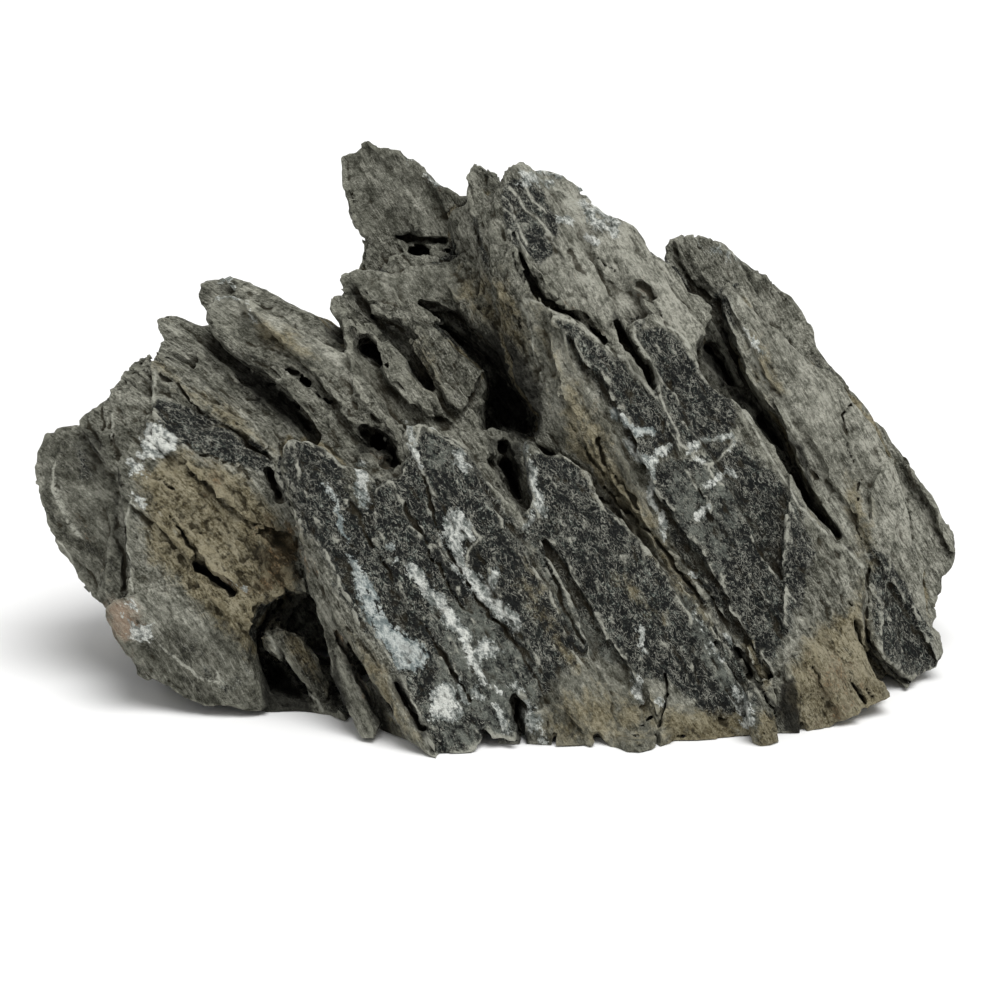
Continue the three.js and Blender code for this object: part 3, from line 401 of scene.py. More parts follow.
        {"outline": [(247, 316), (294, 330), (322, 362), (270, 350)]},
        {"outline": [(510, 540), (540, 560), (580, 660), (540, 640)], "much": 0.5},
        {"outline": [(752, 335), (768, 350), (782, 392), (770, 398), (756, 372)]},
        {"outline": [(846, 470), (862, 486), (872, 540), (862, 556), (850, 520)]},
    ],
    "ochre": [  # rust
        {"outline": [(199, 466), (221, 466), (224, 500), (206, 502)], "much": 0.8},
        {"outline": [(247, 520), (306, 520), (310, 590), (255, 600)], "much": 0.9, "soft": 18},
        {"outline": [(195, 455), (215, 455), (222, 485), (205, 490)], "much": 0.8},
        {"path": [(80, 517), (86, 530), (92, 546)], "wide": 9, "much": 0.8},
        {"outline": [(800, 660), (850, 640), (884, 700), (870, 737), (800, 740)], "much": 0.56,
         "soft": 24},
        {"outline": [(105, 645), (135, 650), (150, 668), (120, 670)], "much": 0.7},
        {"outline": [(357, 429), (384, 425), (400, 478), (384, 478)], "much": 0.7},
        {"outline": [(375, 655), (396, 690), (410, 735), (390, 720)], "much": 0.6},
        {"outline": [(636, 281), (655, 290), (655, 300), (640, 296)]},
        {"path": [(336, 633), (377, 713)], "wide": 6},
        {"path": [(568, 304), (600, 336)], "wide": 8, "much": 0.8},
        {"outline": [(590, 385), (602, 392), (600, 410), (592, 404)], "much": 0.6},
    ],
    "calcite": [  # white and bluish crystals in old cracks
        {"path": [(359, 469), (361, 485), (363, 503)], "wide": 12},
        {"outline": [(343, 534), (346, 559), (353, 587), (367, 615), (376, 637), (389, 651),
                     (398, 671), (420, 671), (428, 657), (420, 643), (403, 632), (389, 621),
                     (381, 609), (378, 593), (364, 571), (353, 554), (349, 534)], "soft": 8,
         "much": 0.85},
        {"outline": [(442, 518), (451, 507), (464, 511), (470, 523), (480, 537), (477, 543),
                     (464, 541), (469, 551), (459, 564), (448, 554), (439, 534)], "soft": 7,
         "much": 0.85},
        {"outline": [(376, 612), (384, 615), (398, 632), (418, 645), (422, 662), (408, 664),
                     (392, 650), (380, 632)], "soft": 5},
        {"path": [(459, 566), (473, 582), (487, 596), (501, 610), (512, 622)], "wide": 13},
        {"path": [(487, 594), (495, 573)], "wide": 7, "much": 0.9},
        {"path": [(411, 570), (426, 587), (442, 601), (451, 621), (464, 634), (470, 648)],
         "wide": 12},
        {"path": [(470, 656), (476, 671), (486, 684), (500, 690)], "wide": 9, "much": 0.9},
        {"outline": [(470, 654), (486, 636), (504, 650), (490, 660)], "soft": 7, "much": 0.9},
        {"outline": [(430, 690), (446, 682), (463, 712), (452, 724), (432, 718)], "soft": 8},
        {"path": [(457, 680), (463, 702)], "wide": 8, "much": 0.9},
        {"path": [(474, 688), (480, 702)], "wide": 7, "much": 0.85},
        {"path": [(498, 708), (505, 730)], "wide": 12, "much": 0.8},
        {"path": [(526, 710), (545, 745)], "wide": 14, "much": 0.8},
        {"path": [(409, 424), (412, 446), (421, 466)], "wide": 9, "much": 0.8},
        {"path": [(457, 455), (463, 470)], "wide": 10},
        {"path": [(526, 446), (532, 480), (541, 512)], "wide": 11, "much": 0.8},
        {"path": [(320, 484), (330, 492), (336, 498)], "wide": 13, "much": 0.7},
        {"path": [(391, 546), (398, 560)], "wide": 6, "much": 0.9},
        {"path": [(336, 505), (341, 530)], "wide": 6, "much": 0.8},
        {"path": [(615, 411), (625, 425), (635, 431), (653, 433)], "wide": 8},
        {"path": [(626, 443), (640, 457), (650, 463), (658, 451), (671, 445)], "wide": 9},
        {"path": [(650, 463), (652, 480), (651, 500), (656, 513)], "wide": 6, "much": 0.95},
        {"path": [(660, 515), (663, 537)], "wide": 9},
        {"path": [(690, 451), (697, 444)], "wide": 9},
        {"path": [(700, 442), (715, 439)], "wide": 5, "much": 0.9},
        {"path": [(720, 438), (731, 435)], "wide": 6},
        {"path": [(692, 458), (704, 461)], "wide": 5, "much": 0.85},
        {"path": [(726, 452), (734, 443)], "wide": 4, "much": 0.8},
        {"path": [(726, 470), (735, 476)], "wide": 6},
        {"path": [(710, 485), (720, 475)], "wide": 6},
        {"path": [(696, 516), (707, 507)], "wide": 7},
        {"path": [(690, 574), (696, 576)], "wide": 6},
        {"path": [(640, 632), (643, 644)], "wide": 8},
        {"path": [(645, 652), (650, 656)], "wide": 5},
        {"path": [(636, 682), (641, 698)], "wide": 15, "much": 0.9},
        {"path": [(659, 701), (663, 704)], "wide": 8},
        {"path": [(692, 604), (706, 640), (724, 666)], "wide": 11, "much": 0.6},
        {"path": [(733, 690), (742, 702), (749, 722)], "wide": 16, "much": 0.85},
        {"path": [(727, 637), (730, 641)], "wide": 6},
        {"path": [(885, 666), (888, 668)], "wide": 6},
        {"path": [(526, 524), (532, 516)], "wide": 7},
        {"path": [(511, 684), (520, 690)], "wide": 8, "much": 0.8},
        {"outline": [(149, 421), (163, 424), (178, 438), (178, 450), (163, 456), (147, 456),
                     (140, 447), (143, 433)], "soft": 5},
        {"outline": [(127, 455), (146, 452), (142, 474), (130, 476)], "much": 0.8},
        {"path": [(224, 278), (233, 285)], "wide": 8, "much": 0.9},
        {"path": [(584, 203), (592, 212), (598, 226)], "wide": 9},
        {"path": [(598, 221), (606, 229), (616, 234)], "wide": 9},
        {"path": [(580, 188), (592, 200), (607, 217), (618, 224)], "wide": 7, "much": 0.9},
        {"path": [(559, 216), (573, 222)], "wide": 7},
        {"path": [(587, 236), (598, 243)], "wide": 7, "much": 0.9},
        {"path": [(516, 172), (530, 178)], "wide": 7, "much": 0.9},
        {"path": [(540, 170), (560, 176)], "wide": 6, "much": 0.9},
        {"path": [(518, 186), (530, 178), (548, 182)], "wide": 9, "much": 0.8},
        {"path": [(427, 179), (438, 185)], "wide": 9, "much": 0.75},
        {"path": [(411, 160), (416, 162)], "wide": 8, "much": 0.75},
        {"outline": [(122, 617), (153, 623), (152, 645), (128, 640)], "much": 0.75},
        {"path": [(124, 600), (130, 610)], "wide": 12, "much": 0.7},
        {"path": [(216, 298), (247, 298), (252, 320)], "wide": 6, "much": 0.75},
        {"path": [(745, 330), (756, 346), (764, 354)], "wide": 8, "much": 0.75},
        {"path": [(226, 578), (238, 586), (246, 590)], "wide": 5, "much": 0.7},
        {"path": [(131, 498), (140, 508)], "wide": 12, "much": 0.7},
        {"path": [(690, 240), (720, 250), (740, 262)], "wide": 9, "much": 0.55},
    ],
    "blue": [  # where the crystals are bluish
        {"path": [(341, 530), (353, 570), (372, 594), (392, 642), (423, 667)], "wide": 40},
        {"path": [(613, 407), (622, 424), (637, 432), (653, 432)], "wide": 12},
        {"outline": [(555, 322), (607, 351), (650, 400), (655, 470), (620, 430)], "much": 0.5},
        {"outline": [(282, 446), (330, 450), (400, 540), (400, 600), (340, 590)], "much": 0.6},
    ],
    "pink": [
        {"outline": [(104, 598), (132, 598), (147, 632), (124, 645), (106, 625)]},
        {"outline": [(127, 452), (150, 445), (150, 478), (130, 474)], "much": 0.5},
        {"path": [(426, 180), (438, 186)], "wide": 12, "much": 0.6},
        {"path": [(907, 470), (915, 486)], "wide": 12, "much": 0.5},
        {"path": [(222, 578), (246, 592)], "wide": 12, "much": 0.6},
    ],
    "dark": [  # painted shade: deep hollows, gaps and the floor of the cave made dark where shadow falls
        {"outline": [(419, 300), (446, 305), (473, 322), (500, 330), (524, 352), (542, 385),
                     (542, 440), (520, 447), (491, 422), (489, 376), (480, 350), (460, 328)]},
        {"outline": [(488, 442), (521, 442), (530, 470), (524, 512), (500, 470)]},
        {"outline": [(222, 350), (250, 352), (300, 400), (330, 440), (300, 438), (250, 408)],
         "much": 0.8},
        {"outline": [(700, 335), (714, 342), (736, 385), (724, 384), (700, 358)]},
        {"outline": [(264, 470), (280, 470), (284, 500), (272, 498)], "much": 0.9},
        {"outline": [(455, 285), (500, 292), (528, 330), (536, 385), (505, 350), (470, 318)],
         "much": 0.45},
        {"outline": [(372, 318), (395, 320), (416, 336), (414, 346), (385, 337)]},
        {"outline": [(348, 330), (370, 333), (382, 360), (372, 366), (352, 352)], "much": 0.6},
        {"outline": [(356, 428), (392, 428), (394, 456), (358, 452)]},
        {"outline": [(384, 460), (402, 462), (398, 480), (386, 478)], "much": 0.8},
        {"outline": [(394, 226), (420, 228), (418, 242), (396, 242)], "much": 0.8},
        {"outline": [(439, 235), (454, 236), (452, 245), (440, 245)], "much": 0.8},
        {"outline": [(381, 258), (406, 262), (404, 271), (384, 270)], "much": 0.6},
        {"path": [(396, 684), (412, 712), (424, 732)], "wide": 10},
        {"path": [(738, 395), (760, 410), (800, 450), (812, 500), (830, 520), (852, 550)],
         "wide": 7},
        {"path": [(733, 650), (750, 674), (764, 694), (780, 714)], "wide": 5},
        {"path": [(615, 315), (632, 345), (655, 388)], "wide": 7},
        {"path": [(866, 599), (868, 642), (886, 664), (908, 682)], "wide": 6},
        {"outline": [(76, 428), (100, 418), (108, 452), (98, 488), (82, 470)], "much": 0.62},
        {"outline": [(262, 662), (268, 650), (318, 714), (262, 714)], "soft": 6},
        {"outline": [(328, 640), (334, 650), (350, 706), (332, 712), (332, 690)], "soft": 8},
        {"outline": [(344, 655), (352, 655), (372, 690), (398, 740), (380, 738), (366, 700)],
         "soft": 7},
        {"outline": [(781, 684), (797, 674), (803, 746), (783, 746)], "soft": 4},
        {"outline": [(774, 704), (782, 700), (784, 724), (776, 722)], "soft": 5},
        {"path": [(118, 500), (116, 535), (122, 560), (124, 592)], "wide": 10, "much": 0.65},
        {"outline": [(200, 330), (222, 345), (240, 385), (262, 420), (230, 400), (204, 360)],
         "much": 0.6},
        {"outline": [(512, 698), (518, 698), (534, 752), (518, 752)], "soft": 6},
        {"outline": [(244, 536), (262, 540), (276, 560), (262, 572), (248, 556)], "much": 0.7},
        {"outline": [(278, 540), (300, 548), (304, 580), (286, 572)], "much": 0.62},
    ],
    "smooth": [  # worn smooth
        {"outline": [(36, 430), (90, 410), (125, 440), (130, 500), (128, 600), (100, 600),
                     (60, 560), (36, 500)], "soft": 20},
        {"outline": [(108, 610), (150, 600), (225, 605), (262, 640), (268, 712), (200, 706),
                     (140, 676)], "soft": 20},
        {"outline": [(340, 150), (372, 140), (462, 190), (450, 225), (360, 230)], "soft": 20},
        {"outline": [(524, 300), (548, 300), (580, 370), (612, 430), (690, 575), (640, 530),
                     (560, 450), (545, 400)], "soft": 14, "much": 0.9},
        {"outline": [(200, 280), (260, 290), (420, 380), (400, 400), (300, 360), (210, 310)],
         "much": 0.8, "soft": 16},
        {"outline": [(785, 652), (832, 542), (867, 560), (870, 640), (897, 700), (880, 735),
                     (800, 737)], "much": 0.25, "soft": 20},
        {"outline": [(303, 590), (335, 612), (430, 760), (395, 745), (345, 738), (318, 650)]},
        {"outline": [(540, 678), (600, 665), (665, 680), (668, 756), (540, 756)], "much": 0.9},
        {"outline": [(662, 690), (752, 700), (756, 756), (664, 752)], "much": 0.8},
        {"outline": [(735, 282), (790, 330), (870, 420), (890, 540), (850, 540), (800, 450),
                     (760, 400), (740, 340)], "much": 0.5},
        {"outline": [(520, 165), (560, 170), (640, 235), (700, 300), (700, 350), (660, 325),
                     (615, 312), (570, 300), (540, 270)], "much": 0.6},
        {"outline": [(345, 275), (460, 262), (480, 300), (440, 300), (350, 300)], "much": 0.8},
    ],
    "rough": [  # worn hollow and crumbly
        {"outline": [(134, 470), (178, 449), (238, 470), (300, 540), (300, 590), (255, 655),
                     (210, 620), (150, 560)]},
        {"outline": [(445, 262), (500, 270), (540, 330), (540, 390), (500, 340), (440, 302)],
         "much": 0.7},
        {"outline": [(350, 405), (405, 400), (405, 480), (350, 470)], "much": 0.8},
        {"outline": [(240, 515), (306, 515), (306, 600), (250, 600)]},
    ],
}

# Cracks on the seen side. wide and deep are in millimetres.
cracks = [
    {"path": [(513, 252), (521, 268), (530, 288), (540, 298), (559, 309)], "wide": 0.25, "deep": 3.5},
    {"path": [(556, 308), (577, 317), (596, 331), (612, 345)], "wide": 0.3, "deep": 4},
    {"path": [(598, 258), (610, 268), (622, 280), (636, 292), (648, 301), (660, 312), (668, 326)],
     "wide": 0.35, "deep": 2.5},
    {"path": [(514, 700), (520, 725), (527, 752)], "wide": 2.0, "deep": 7},
    {"path": [(484, 728), (488, 750)], "wide": 1.4, "deep": 4},
    {"path": [(596, 736), (604, 748)], "wide": 2.4, "deep": 6},
    {"path": [(735, 650), (750, 672), (764, 694), (777, 716)], "wide": 0.9, "deep": 6},
    {"path": [(638, 284), (650, 296)], "wide": 2.6, "deep": 2.5},
    {"path": [(158, 474), (170, 486), (176, 490)], "wide": 0.3, "deep": 1.5},
    {"path": [(169, 511), (183, 530), (186, 540), (197, 556), (210, 567)], "wide": 0.6, "deep": 3},
    {"path": [(197, 563), (214, 578), (233, 592)], "wide": 2.6, "deep": 6},
    {"path": [(289, 370), (297, 373)], "wide": 1.4, "deep": 4},
    {"path": [(300, 378), (312, 388), (325, 397), (336, 406)], "wide": 0.9, "deep": 3},
    {"path": [(281, 396), (296, 408), (310, 429)], "wide": 1.5, "deep": 3.5},
    {"path": [(845, 442), (860, 480), (857, 511), (860, 542)], "wide": 0.3, "deep": 2},
    {"path": [(851, 402), (842, 417), (845, 436)], "wide": 0.3, "deep": 1.5},
    {"path": [(867, 572), (865, 610), (867, 640), (877, 656), (887, 665), (908, 682)], "wide": 1.2,
     "deep": 7},
    {"path": [(800, 684), (804, 694), (808, 706)], "wide": 0.3, "deep": 1.5},
    {"path": [(812, 664), (822, 700), (828, 736)], "wide": 0.1, "deep": 1},
    {"path": [(838, 640), (846, 680), (862, 728)], "wide": 0.1, "deep": 1},
    {"path": [(866, 690), (880, 706), (890, 716)], "wide": 0.2, "deep": 1.5},
    {"path": [(849, 679), (857, 690), (867, 703)], "wide": 0.8, "deep": 3},
    {"path": [(336, 633), (352, 665), (377, 713)], "wide": 1.2, "deep": 4},
    {"path": [(405, 500), (425, 545), (470, 620)], "wide": 0.7, "deep": 1.5},
    {"path": [(571, 252), (574, 262), (582, 272), (585, 280)], "wide": 1.6, "deep": 1.2},
    {"path": [(396, 236), (412, 240), (430, 240), (452, 244)], "wide": 2.0, "deep": 4.5},
    {"path": [(352, 330), (362, 345), (378, 352), (386, 368)], "wide": 1.4, "deep": 5},
    {"path": [(372, 318), (395, 324), (414, 339)], "wide": 1.8, "deep": 5},
    {"path": [(364, 432), (380, 442), (398, 458), (394, 474)], "wide": 3.2, "deep": 7},
    {"path": [(88, 408), (88, 425), (104, 446)], "wide": 0.6, "deep": 1},
    {"path": [(109, 417), (112, 440), (121, 460), (118, 490)], "wide": 0.9, "deep": 2},
    {"path": [(120, 500), (116, 535), (124, 562), (124, 592)], "wide": 0.9, "deep": 1.5},
    {"path": [(600, 440), (603, 462), (640, 510)], "wide": 0.8, "deep": 2},
    {"path": [(560, 400), (590, 460), (640, 520), (690, 590)], "wide": 0.6, "deep": 1.5},
    {"path": [(588, 470), (620, 505), (651, 535), (690, 586), (724, 642)], "wide": 0.9, "deep": 2},
    {"path": [(500, 446), (510, 470), (524, 505)], "wide": 4.0, "deep": 9},
    {"path": [(524, 510), (545, 560), (580, 640), (600, 690)], "wide": 0.6, "deep": 1.5},
    {"path": [(352, 500), (372, 545), (395, 580), (440, 650), (470, 700)], "wide": 0.6, "deep": 1.4},
    {"path": [(425, 480), (440, 530), (470, 590), (520, 650), (545, 700)], "wide": 0.5, "deep": 1.2},
    {"path": [(666, 540), (700, 580), (735, 640), (765, 690)], "wide": 0.6, "deep": 1.5},
    {"path": [(396, 684), (410, 710), (422, 730)], "wide": 1.6, "deep": 6},
    {"path": [(663, 672), (668, 694), (663, 716), (655, 745)], "wide": 0.9, "deep": 4},
    {"path": [(196, 453), (240, 470)], "wide": 0.5, "deep": 1.5},
    {"path": [(160, 375), (190, 400), (230, 430), (272, 462)], "wide": 0.7, "deep": 2},
    {"path": [(98, 395), (105, 430), (119, 462)], "wide": 0.8, "deep": 2},
    {"path": [(270, 474), (279, 498)], "wide": 2.6, "deep": 6},
    {"path": [(386, 462), (398, 474)], "wide": 2.4, "deep": 4},
    {"path": [(474, 222), (480, 250), (490, 272)], "wide": 0.9, "deep": 2.5},
    {"path": [(700, 345), (712, 352), (730, 384)], "wide": 2.2, "deep": 6},
]


# Where a ledge or a hole of the solid is worn away.
meltings = [
    {"outline": [(786, 640), (800, 622), (850, 625), (868, 640), (872, 668), (850, 676), (800, 676)],
     "passes": 70},
    {"outline": [(140, 628), (248, 628), (248, 652), (140, 652)], "passes": 70},
    {"outline": [(362, 162), (386, 160), (425, 190), (410, 212), (380, 212), (365, 195)],
     "passes": 60},
    {"outline": [(392, 232), (456, 236), (468, 256), (464, 268), (400, 264)], "passes": 60},
    {"outline": [(205, 258), (245, 258), (250, 288), (205, 288)], "passes": 16},
    {"outline": [(578, 194), (600, 194), (622, 236), (614, 262), (597, 252), (584, 222)],
     "passes": 60},
]

# Low fills of stone that stand on the table, most of them dark stand-ins for the shadow under the stone
# and in its gaps, painted with shade marks: the pixels where their front edge meets the table, how far
# they go back from there and how high they are, in millimetres.
sills = [
    {"front": [(256, 704), (266, 713), (300, 712), (330, 716), (346, 724), (356, 712)],
     "back": 30.0, "high": 2.6},
    {"front": [(497, 744), (512, 746), (530, 745), (552, 746)], "back": 14.0, "high": 8.5},
    {"front": [(584, 744), (600, 744), (616, 748), (628, 753), (644, 754), (658, 748), (672, 744)],
     "back": 12.0, "high": 4.5},
    {"front": [(368, 724), (384, 732), (398, 738), (414, 744)], "back": 22.0, "high": 12.0},
    {"front": [(752, 744), (761, 747), (772, 746), (779, 743)], "back": 12.0, "high": 10.0},
    {"front": [(776, 734), (802, 734)], "back": 14.0, "high": 10.0},
]

# Thin leaves of stone that stand in a hollow: their outline in pixels, the depth of their front
# and their thickness in millimetres, and how much deeper each pixel to the right lies.
splinters = [
    {"outline": [(266, 634), (277, 625), (302, 636), (330, 686), (330, 706), (320, 711)],
     "near": -7.0, "thick": 5.0, "lean": 0.09},
    {"outline": [(716, 640), (728, 634), (740, 652), (774, 704), (770, 720), (748, 712)],
     "near": -13.5, "thick": 9.0, "lean": 0.0},
    {"outline": [(553, 300), (566, 299), (585, 313), (608, 330), (612, 339), (600, 337),
                 (578, 322), (562, 309)], "near": 5.4, "thick": 6.0, "lean": 0.0},
    {"outline": [(594, 250), (606, 250), (622, 268), (640, 281), (654, 297), (646, 306),
                 (630, 297), (606, 277), (597, 264)], "near": 8.0, "thick": 6.0, "lean": 0.0},
    {"outline": [(546, 310), (560, 313), (577, 320), (596, 335), (614, 351), (618, 362),
                 (600, 356), (584, 344), (566, 333), (548, 324)],
     "near": 0.2, "thick": 9.0, "lean": 0.0},
    {"outline": [(740, 640), (752, 644), (774, 684), (772, 694), (760, 684)],
     "near": -15.0, "thick": 9.0, "lean": 0.0},
    {"outline": [(674, 238), (692, 242), (712, 266), (730, 292), (716, 298), (700, 286),
                 (686, 266)], "near": 22.8, "thick": 8.0, "lean": 0.0},
]


def solidMesh():
    # the solid's points in millimetres, each one once, and its triangles
    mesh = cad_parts["rock"].data
    places = np.empty(len(mesh.vertices) * 3, np.float32)
    mesh.vertices.foreach_get("co", places)
    mesh.calc_loop_triangles()
    corners = np.empty(len(mesh.loop_triangles) * 3, np.int32)
    mesh.loop_triangles.foreach_get("vertices", corners)
    rounded = np.round(places.reshape(-1, 3) * metre, 4)
    points, where = np.unique(rounded, axis=0, return_inverse=True)
    triangles = where.reshape(-1)[corners].reshape(-1, 3)
    return points.astype(np.float32), triangles.astype(np.uint32)


def distanceField(points, triangles):
    # distances to the solid's surface on a grid, negative inside
    step = surface["voxel"]
    grid = openvdb.FloatGrid.createLevelSetFromPolygons(
        points,
        triangles=triangles,
        transform=openvdb.createLinearTransform(voxelSize=step),
        halfWidth=surface["halfBand"],
    )
    low, high = grid.evalActiveVoxelBoundingBox()
    field = np.zeros([h - l + 1 for l, h in zip(low, high)], np.float32)
    grid.copyToArray(field, ijk=low)
    return field, low


def blurred(field, passes):
    for _ in range(passes):
        for axis in range(3):
            middle = np.swapaxes(field, 0, axis)
            spread = middle.copy()
            spread[1:-1] = 0.5 * middle[1:-1] + 0.25 * (middle[2:] + middle[:-2])
            field = np.swapaxes(spread, 0, axis)
    return np.ascontiguousarray(field)


def surfaceOf(field, low):
    grid = openvdb.FloatGrid(surface["halfBand"] * surface["voxel"])
    grid.copyFromArray(field, ijk=low, tolerance=0.0)
    grid.transform = openvdb.createLinearTransform(voxelSize=surface["voxel"])
    points, quads = grid.convertToQuads(isovalue=0)
    return points, quads


mapStep = 4  # pixels to a cell of the depth map


def frontDepths(points):
    # how far from the eye the nearest surface lies, for each cell of the picture
    x, up, depth = sightPlace(points.T)
    px, py = pixelPlace(x, up, depth)
    side = view["picturePx"] // mapStep
    cell = (py // mapStep).astype(int) * side + (px // mapStep).astype(int)
    depths = np.full(side * side, 999.0, np.float32)
    np.minimum.at(depths, cell, depth.astype(np.float32))
    depths = depths.reshape(side, side)
    for _ in range(2):  # a cell with no point in it takes its neighbours' depth
        beside = np.minimum.reduce([np.roll(depths, k, axis) for k in (1, -1) for axis in (0, 1)])
        depths = np.where(depths > 900, beside, depths)
    return depths


def atPixel(picture, px, py, step):
    # a map's value at places between its cells
    u = np.clip(px / step - 0.5, 0, picture.shape[1] - 1.001)
    v = np.clip(py / step - 0.5, 0, picture.shape[0] - 1.001)
    i = u.astype(int)
    j = v.astype(int)
    u = u - i
    v = v - j
    top = picture[j, i] * (1 - u) + picture[j, i + 1] * u
    low = picture[j + 1, i] * (1 - u) + picture[j + 1, i + 1] * u
    return top * (1 - v) + low * v


def pathSide(px, py, path):
    # the distance to a path, negative on its right
    nearest = np.full(px.shape, 1e9, np.float32)
    for (ax, ay), (bx, by) in zip(path[:-1], path[1:]):
        run = (bx - ax) ** 2 + (by - ay) ** 2
        part = np.clip(((px - ax) * (bx - ax) + (py - ay) * (by - ay)) / run, 0, 1)
        away = np.hypot(px - ax - part * (bx - ax), py - ay - part * (by - ay))
        left = (px - ax) * (by - ay) > (py - ay) * (bx - ax)
        nearest = np.where(away < np.abs(nearest), np.where(left, away, -away), nearest)
    return nearest


def pathDistance(px, py, path):
    return np.abs(pathSide(px, py, path))


def insideOutline(px, py, outline):
    inside = np.zeros(px.shape, bool)
    for (ax, ay), (bx, by) in zip(outline, outline[1:] + outline[:1]):
        if ay == by:
            continue
        crosses = (py < ay) != (py < by)
        inside ^= crosses & (px < ax + (py - ay) * (bx - ax) / (by - ay))
    return inside


markStep = 2


def markMap(shapes):
    # from 0 to 1 over the picture: a half on a mark's edge, and more towards its middle
    side = view["picturePx"] // markStep
    middle = (np.arange(side, dtype=np.float32) + 0.5) * markStep
    picture = np.zeros((side, side), np.float32)
    for shape in shapes:
        path = shape.get("outline") or shape["path"]
        wide = shape.get("wide", 99)
        soft = shape.get("soft", 14 if "outline" in shape else min(9, 0.55 * wide + 1))
        margin = soft + shape.get("wide", 0)
        spans = []
        for k in range(2):
            ends = [point[k] for point in path]
            first = max(int((min(ends) - margin) / markStep), 0)
            spans.append(slice(first, int((max(ends) + margin) / markStep) + 1))
        px, py = np.meshgrid(middle[spans[0]], middle[spans[1]])
        if "outline" in shape:
            away = pathDistance(px, py, path + path[:1])
            depth = np.where(insideOutline(px, py, path), away, -away)
        else:
            depth = wide / 2 - pathDistance(px, py, path)
        value = np.clip(0.5 + 0.5 * depth / soft, 0, 1) * shape.get("much", 1.0)
        part = picture[spans[1], spans[0]]
        picture[spans[1], spans[0]] = np.maximum(part, value)
    return picture


def lineMap(shapes):
    # for the thin lines: the distance to the nearest one, in pixels, with its side as the sign
    side = view["picturePx"] // markStep
    middle = (np.arange(side, dtype=np.float32) + 0.5) * markStep
    px, py = np.meshgrid(middle, middle)
    nearest = np.full((side, side), 30.0, np.float32)
    for shape in shapes:
        away = pathSide(px, py, shape["path"])
        nearest = np.where(np.abs(away) < np.abs(nearest), away, nearest)
    return np.clip(nearest, -15, 15)


markMaps = {name: markMap(shapes) for name, shapes in marks.items()}
markMaps["rim"] = markMap([{**shape, "soft": 8} for shape in marks["rim"]])
markMaps["line"] = lineMap(marks["rim"])


def frontness(px, py, depth, depths):
    # 1 on what the picture shows, 0 on what lies behind it
    return 1 - smooth(depth - atPixel(depths, px, py, mapStep), 2.5, 6.0)


def marksAt(points, px, py, front):
    wander = 4.0  # pixels, so that the marks' edges aren't ruled
    px = px + wander * layered(points, 4.0, 31, 2)
    py = py + wander * layered(points, 4.0, 37, 2)
    return {name: atPixel(m, px, py, markStep) * front for name, m in markMaps.items()}


def shingled(value):
    # goes slowly down and jumps back up, as the edges of flakes do
    part = value - np.floor(value)
    return part - smooth(part, 0.82, 1.0) - 0.4


def sampled(field, place):
    # the field's value between its grid points
    cell = [np.clip(np.floor(p).astype(np.int32), 0, n - 2) for p, n in zip(place, field.shape)]
    part = [(p - c).astype(np.float32) for p, c in zip(place, cell)]
    flat = field.ravel()
    start = (cell[0] * field.shape[1] + cell[1]) * field.shape[2] + cell[2]
    sides = []
    for i in (0, field.shape[1] * field.shape[2]):
        rows = []
        for j in (0, field.shape[2]):
            near = flat[start + i + j]
            rows.append(near + (flat[start + i + j + 1] - near) * part[2])
        sides.append(rows[0] + (rows[1] - rows[0]) * part[1])
    return sides[0] + (sides[1] - sides[0]) * part[0]


def wandered(points, inward):
    # the solid's distance at each point, its edges led astray, and less so near its box's walls
    held = smooth(inward, 0.3, 3.0)
    places = []
    for k in range(3):
        shift = surface["wander"] * noise(points, 8.0, 71 + k)
        shift += surface["smallWander"] * noise(points, 2.5, 74 + k)
        places.append((points[k] + held * shift) / surface["voxel"] - low[k])
    return sampled(field, places)


def relief(points, sharp):
    # how much is taken off at each point, in millimetres. sharp is high on the solid's edges.
    x, up, depth = sightPlace(points)
    px, py = pixelPlace(x, up, depth)
    grain = grainPlace(x, up, depth)
    here = marksAt(points, px, py, frontness(px, py, depth, depths))
    bend = 1.4 * noise(points, 10.0, 61) + 0.5 * noise(points, 4.0, 62)
    grain = (grain[0], grain[1] + bend, grain[2])
    rough = here["rough"]
    calm = 0.85 - 0.5 * here["pale"] - 0.5 * here["fresh"] - 0.65 * here["smooth"]
    calm = np.clip(calm, 0.2, 1)
    wave = layered(grain, (26, 9, 13), 14, 3)
    leaves = shingled(grain[1] / surface["leafWidth"] + 2.0 * wave)
    leaves = leaves * smooth(layered(grain, (18, 6, 9), 15, 2), -0.35, 0.45)
    sheets = noise(grain, (24, 2.9, 12), 2)
    bark = ridged(grain, (13, 2.4, 6), 63, 3) ** 3
    bark = bark * smooth(layered(grain, (20, 8, 10), 64, 2), -0.3, 0.4)
    steps = shingled(layered(grain, (22, 8, 10), 3, 4) * 3.0)
    chips = shingled(layered(grain, (8, 3.2, 4), 12, 3) * 2.5)
    lumps = layered(points, 7.5, 4, 3)
    grit = noise(points, 1.2, 5) * (0.5 + noise(points, 5.0, 16))
    broken = smooth(layered(points, 4.2, 65, 2), -0.1, 0.35) * smooth(sharp, 0.12, 0.5)
    crumbs = 1.7 * (ridged(points, (2.7, 2.1, 2.4), 8, 3) - 0.4) + layered(grain, (9, 4, 5), 67, 2)
    off = surface["leaf"] * leaves * calm + surface["sheet"] * sheets * calm
    off += surface["bark"] * bark * calm
    off += surface["flake"] * steps * (0.35 + 0.65 * calm)
    off += surface["chip"] * chips * (0.25 + 0.75 * calm)
    off += surface["edgeChip"] * broken
    off += surface["lump"] * lumps * (1 + 1.6 * rough)
    off += surface["grit"] * grit * (1 + 1.5 * rough)
    off += surface["crumble"] * crumbs * rough
    off -= 0.25 * smooth(here["calcite"], 0.4, 0.7) * (1 + 0.8 * noise(points, 0.9, 9))
    return off + 0.1


crackWiden = 0.25  # added to each crack's width, so that the narrow ones stay open


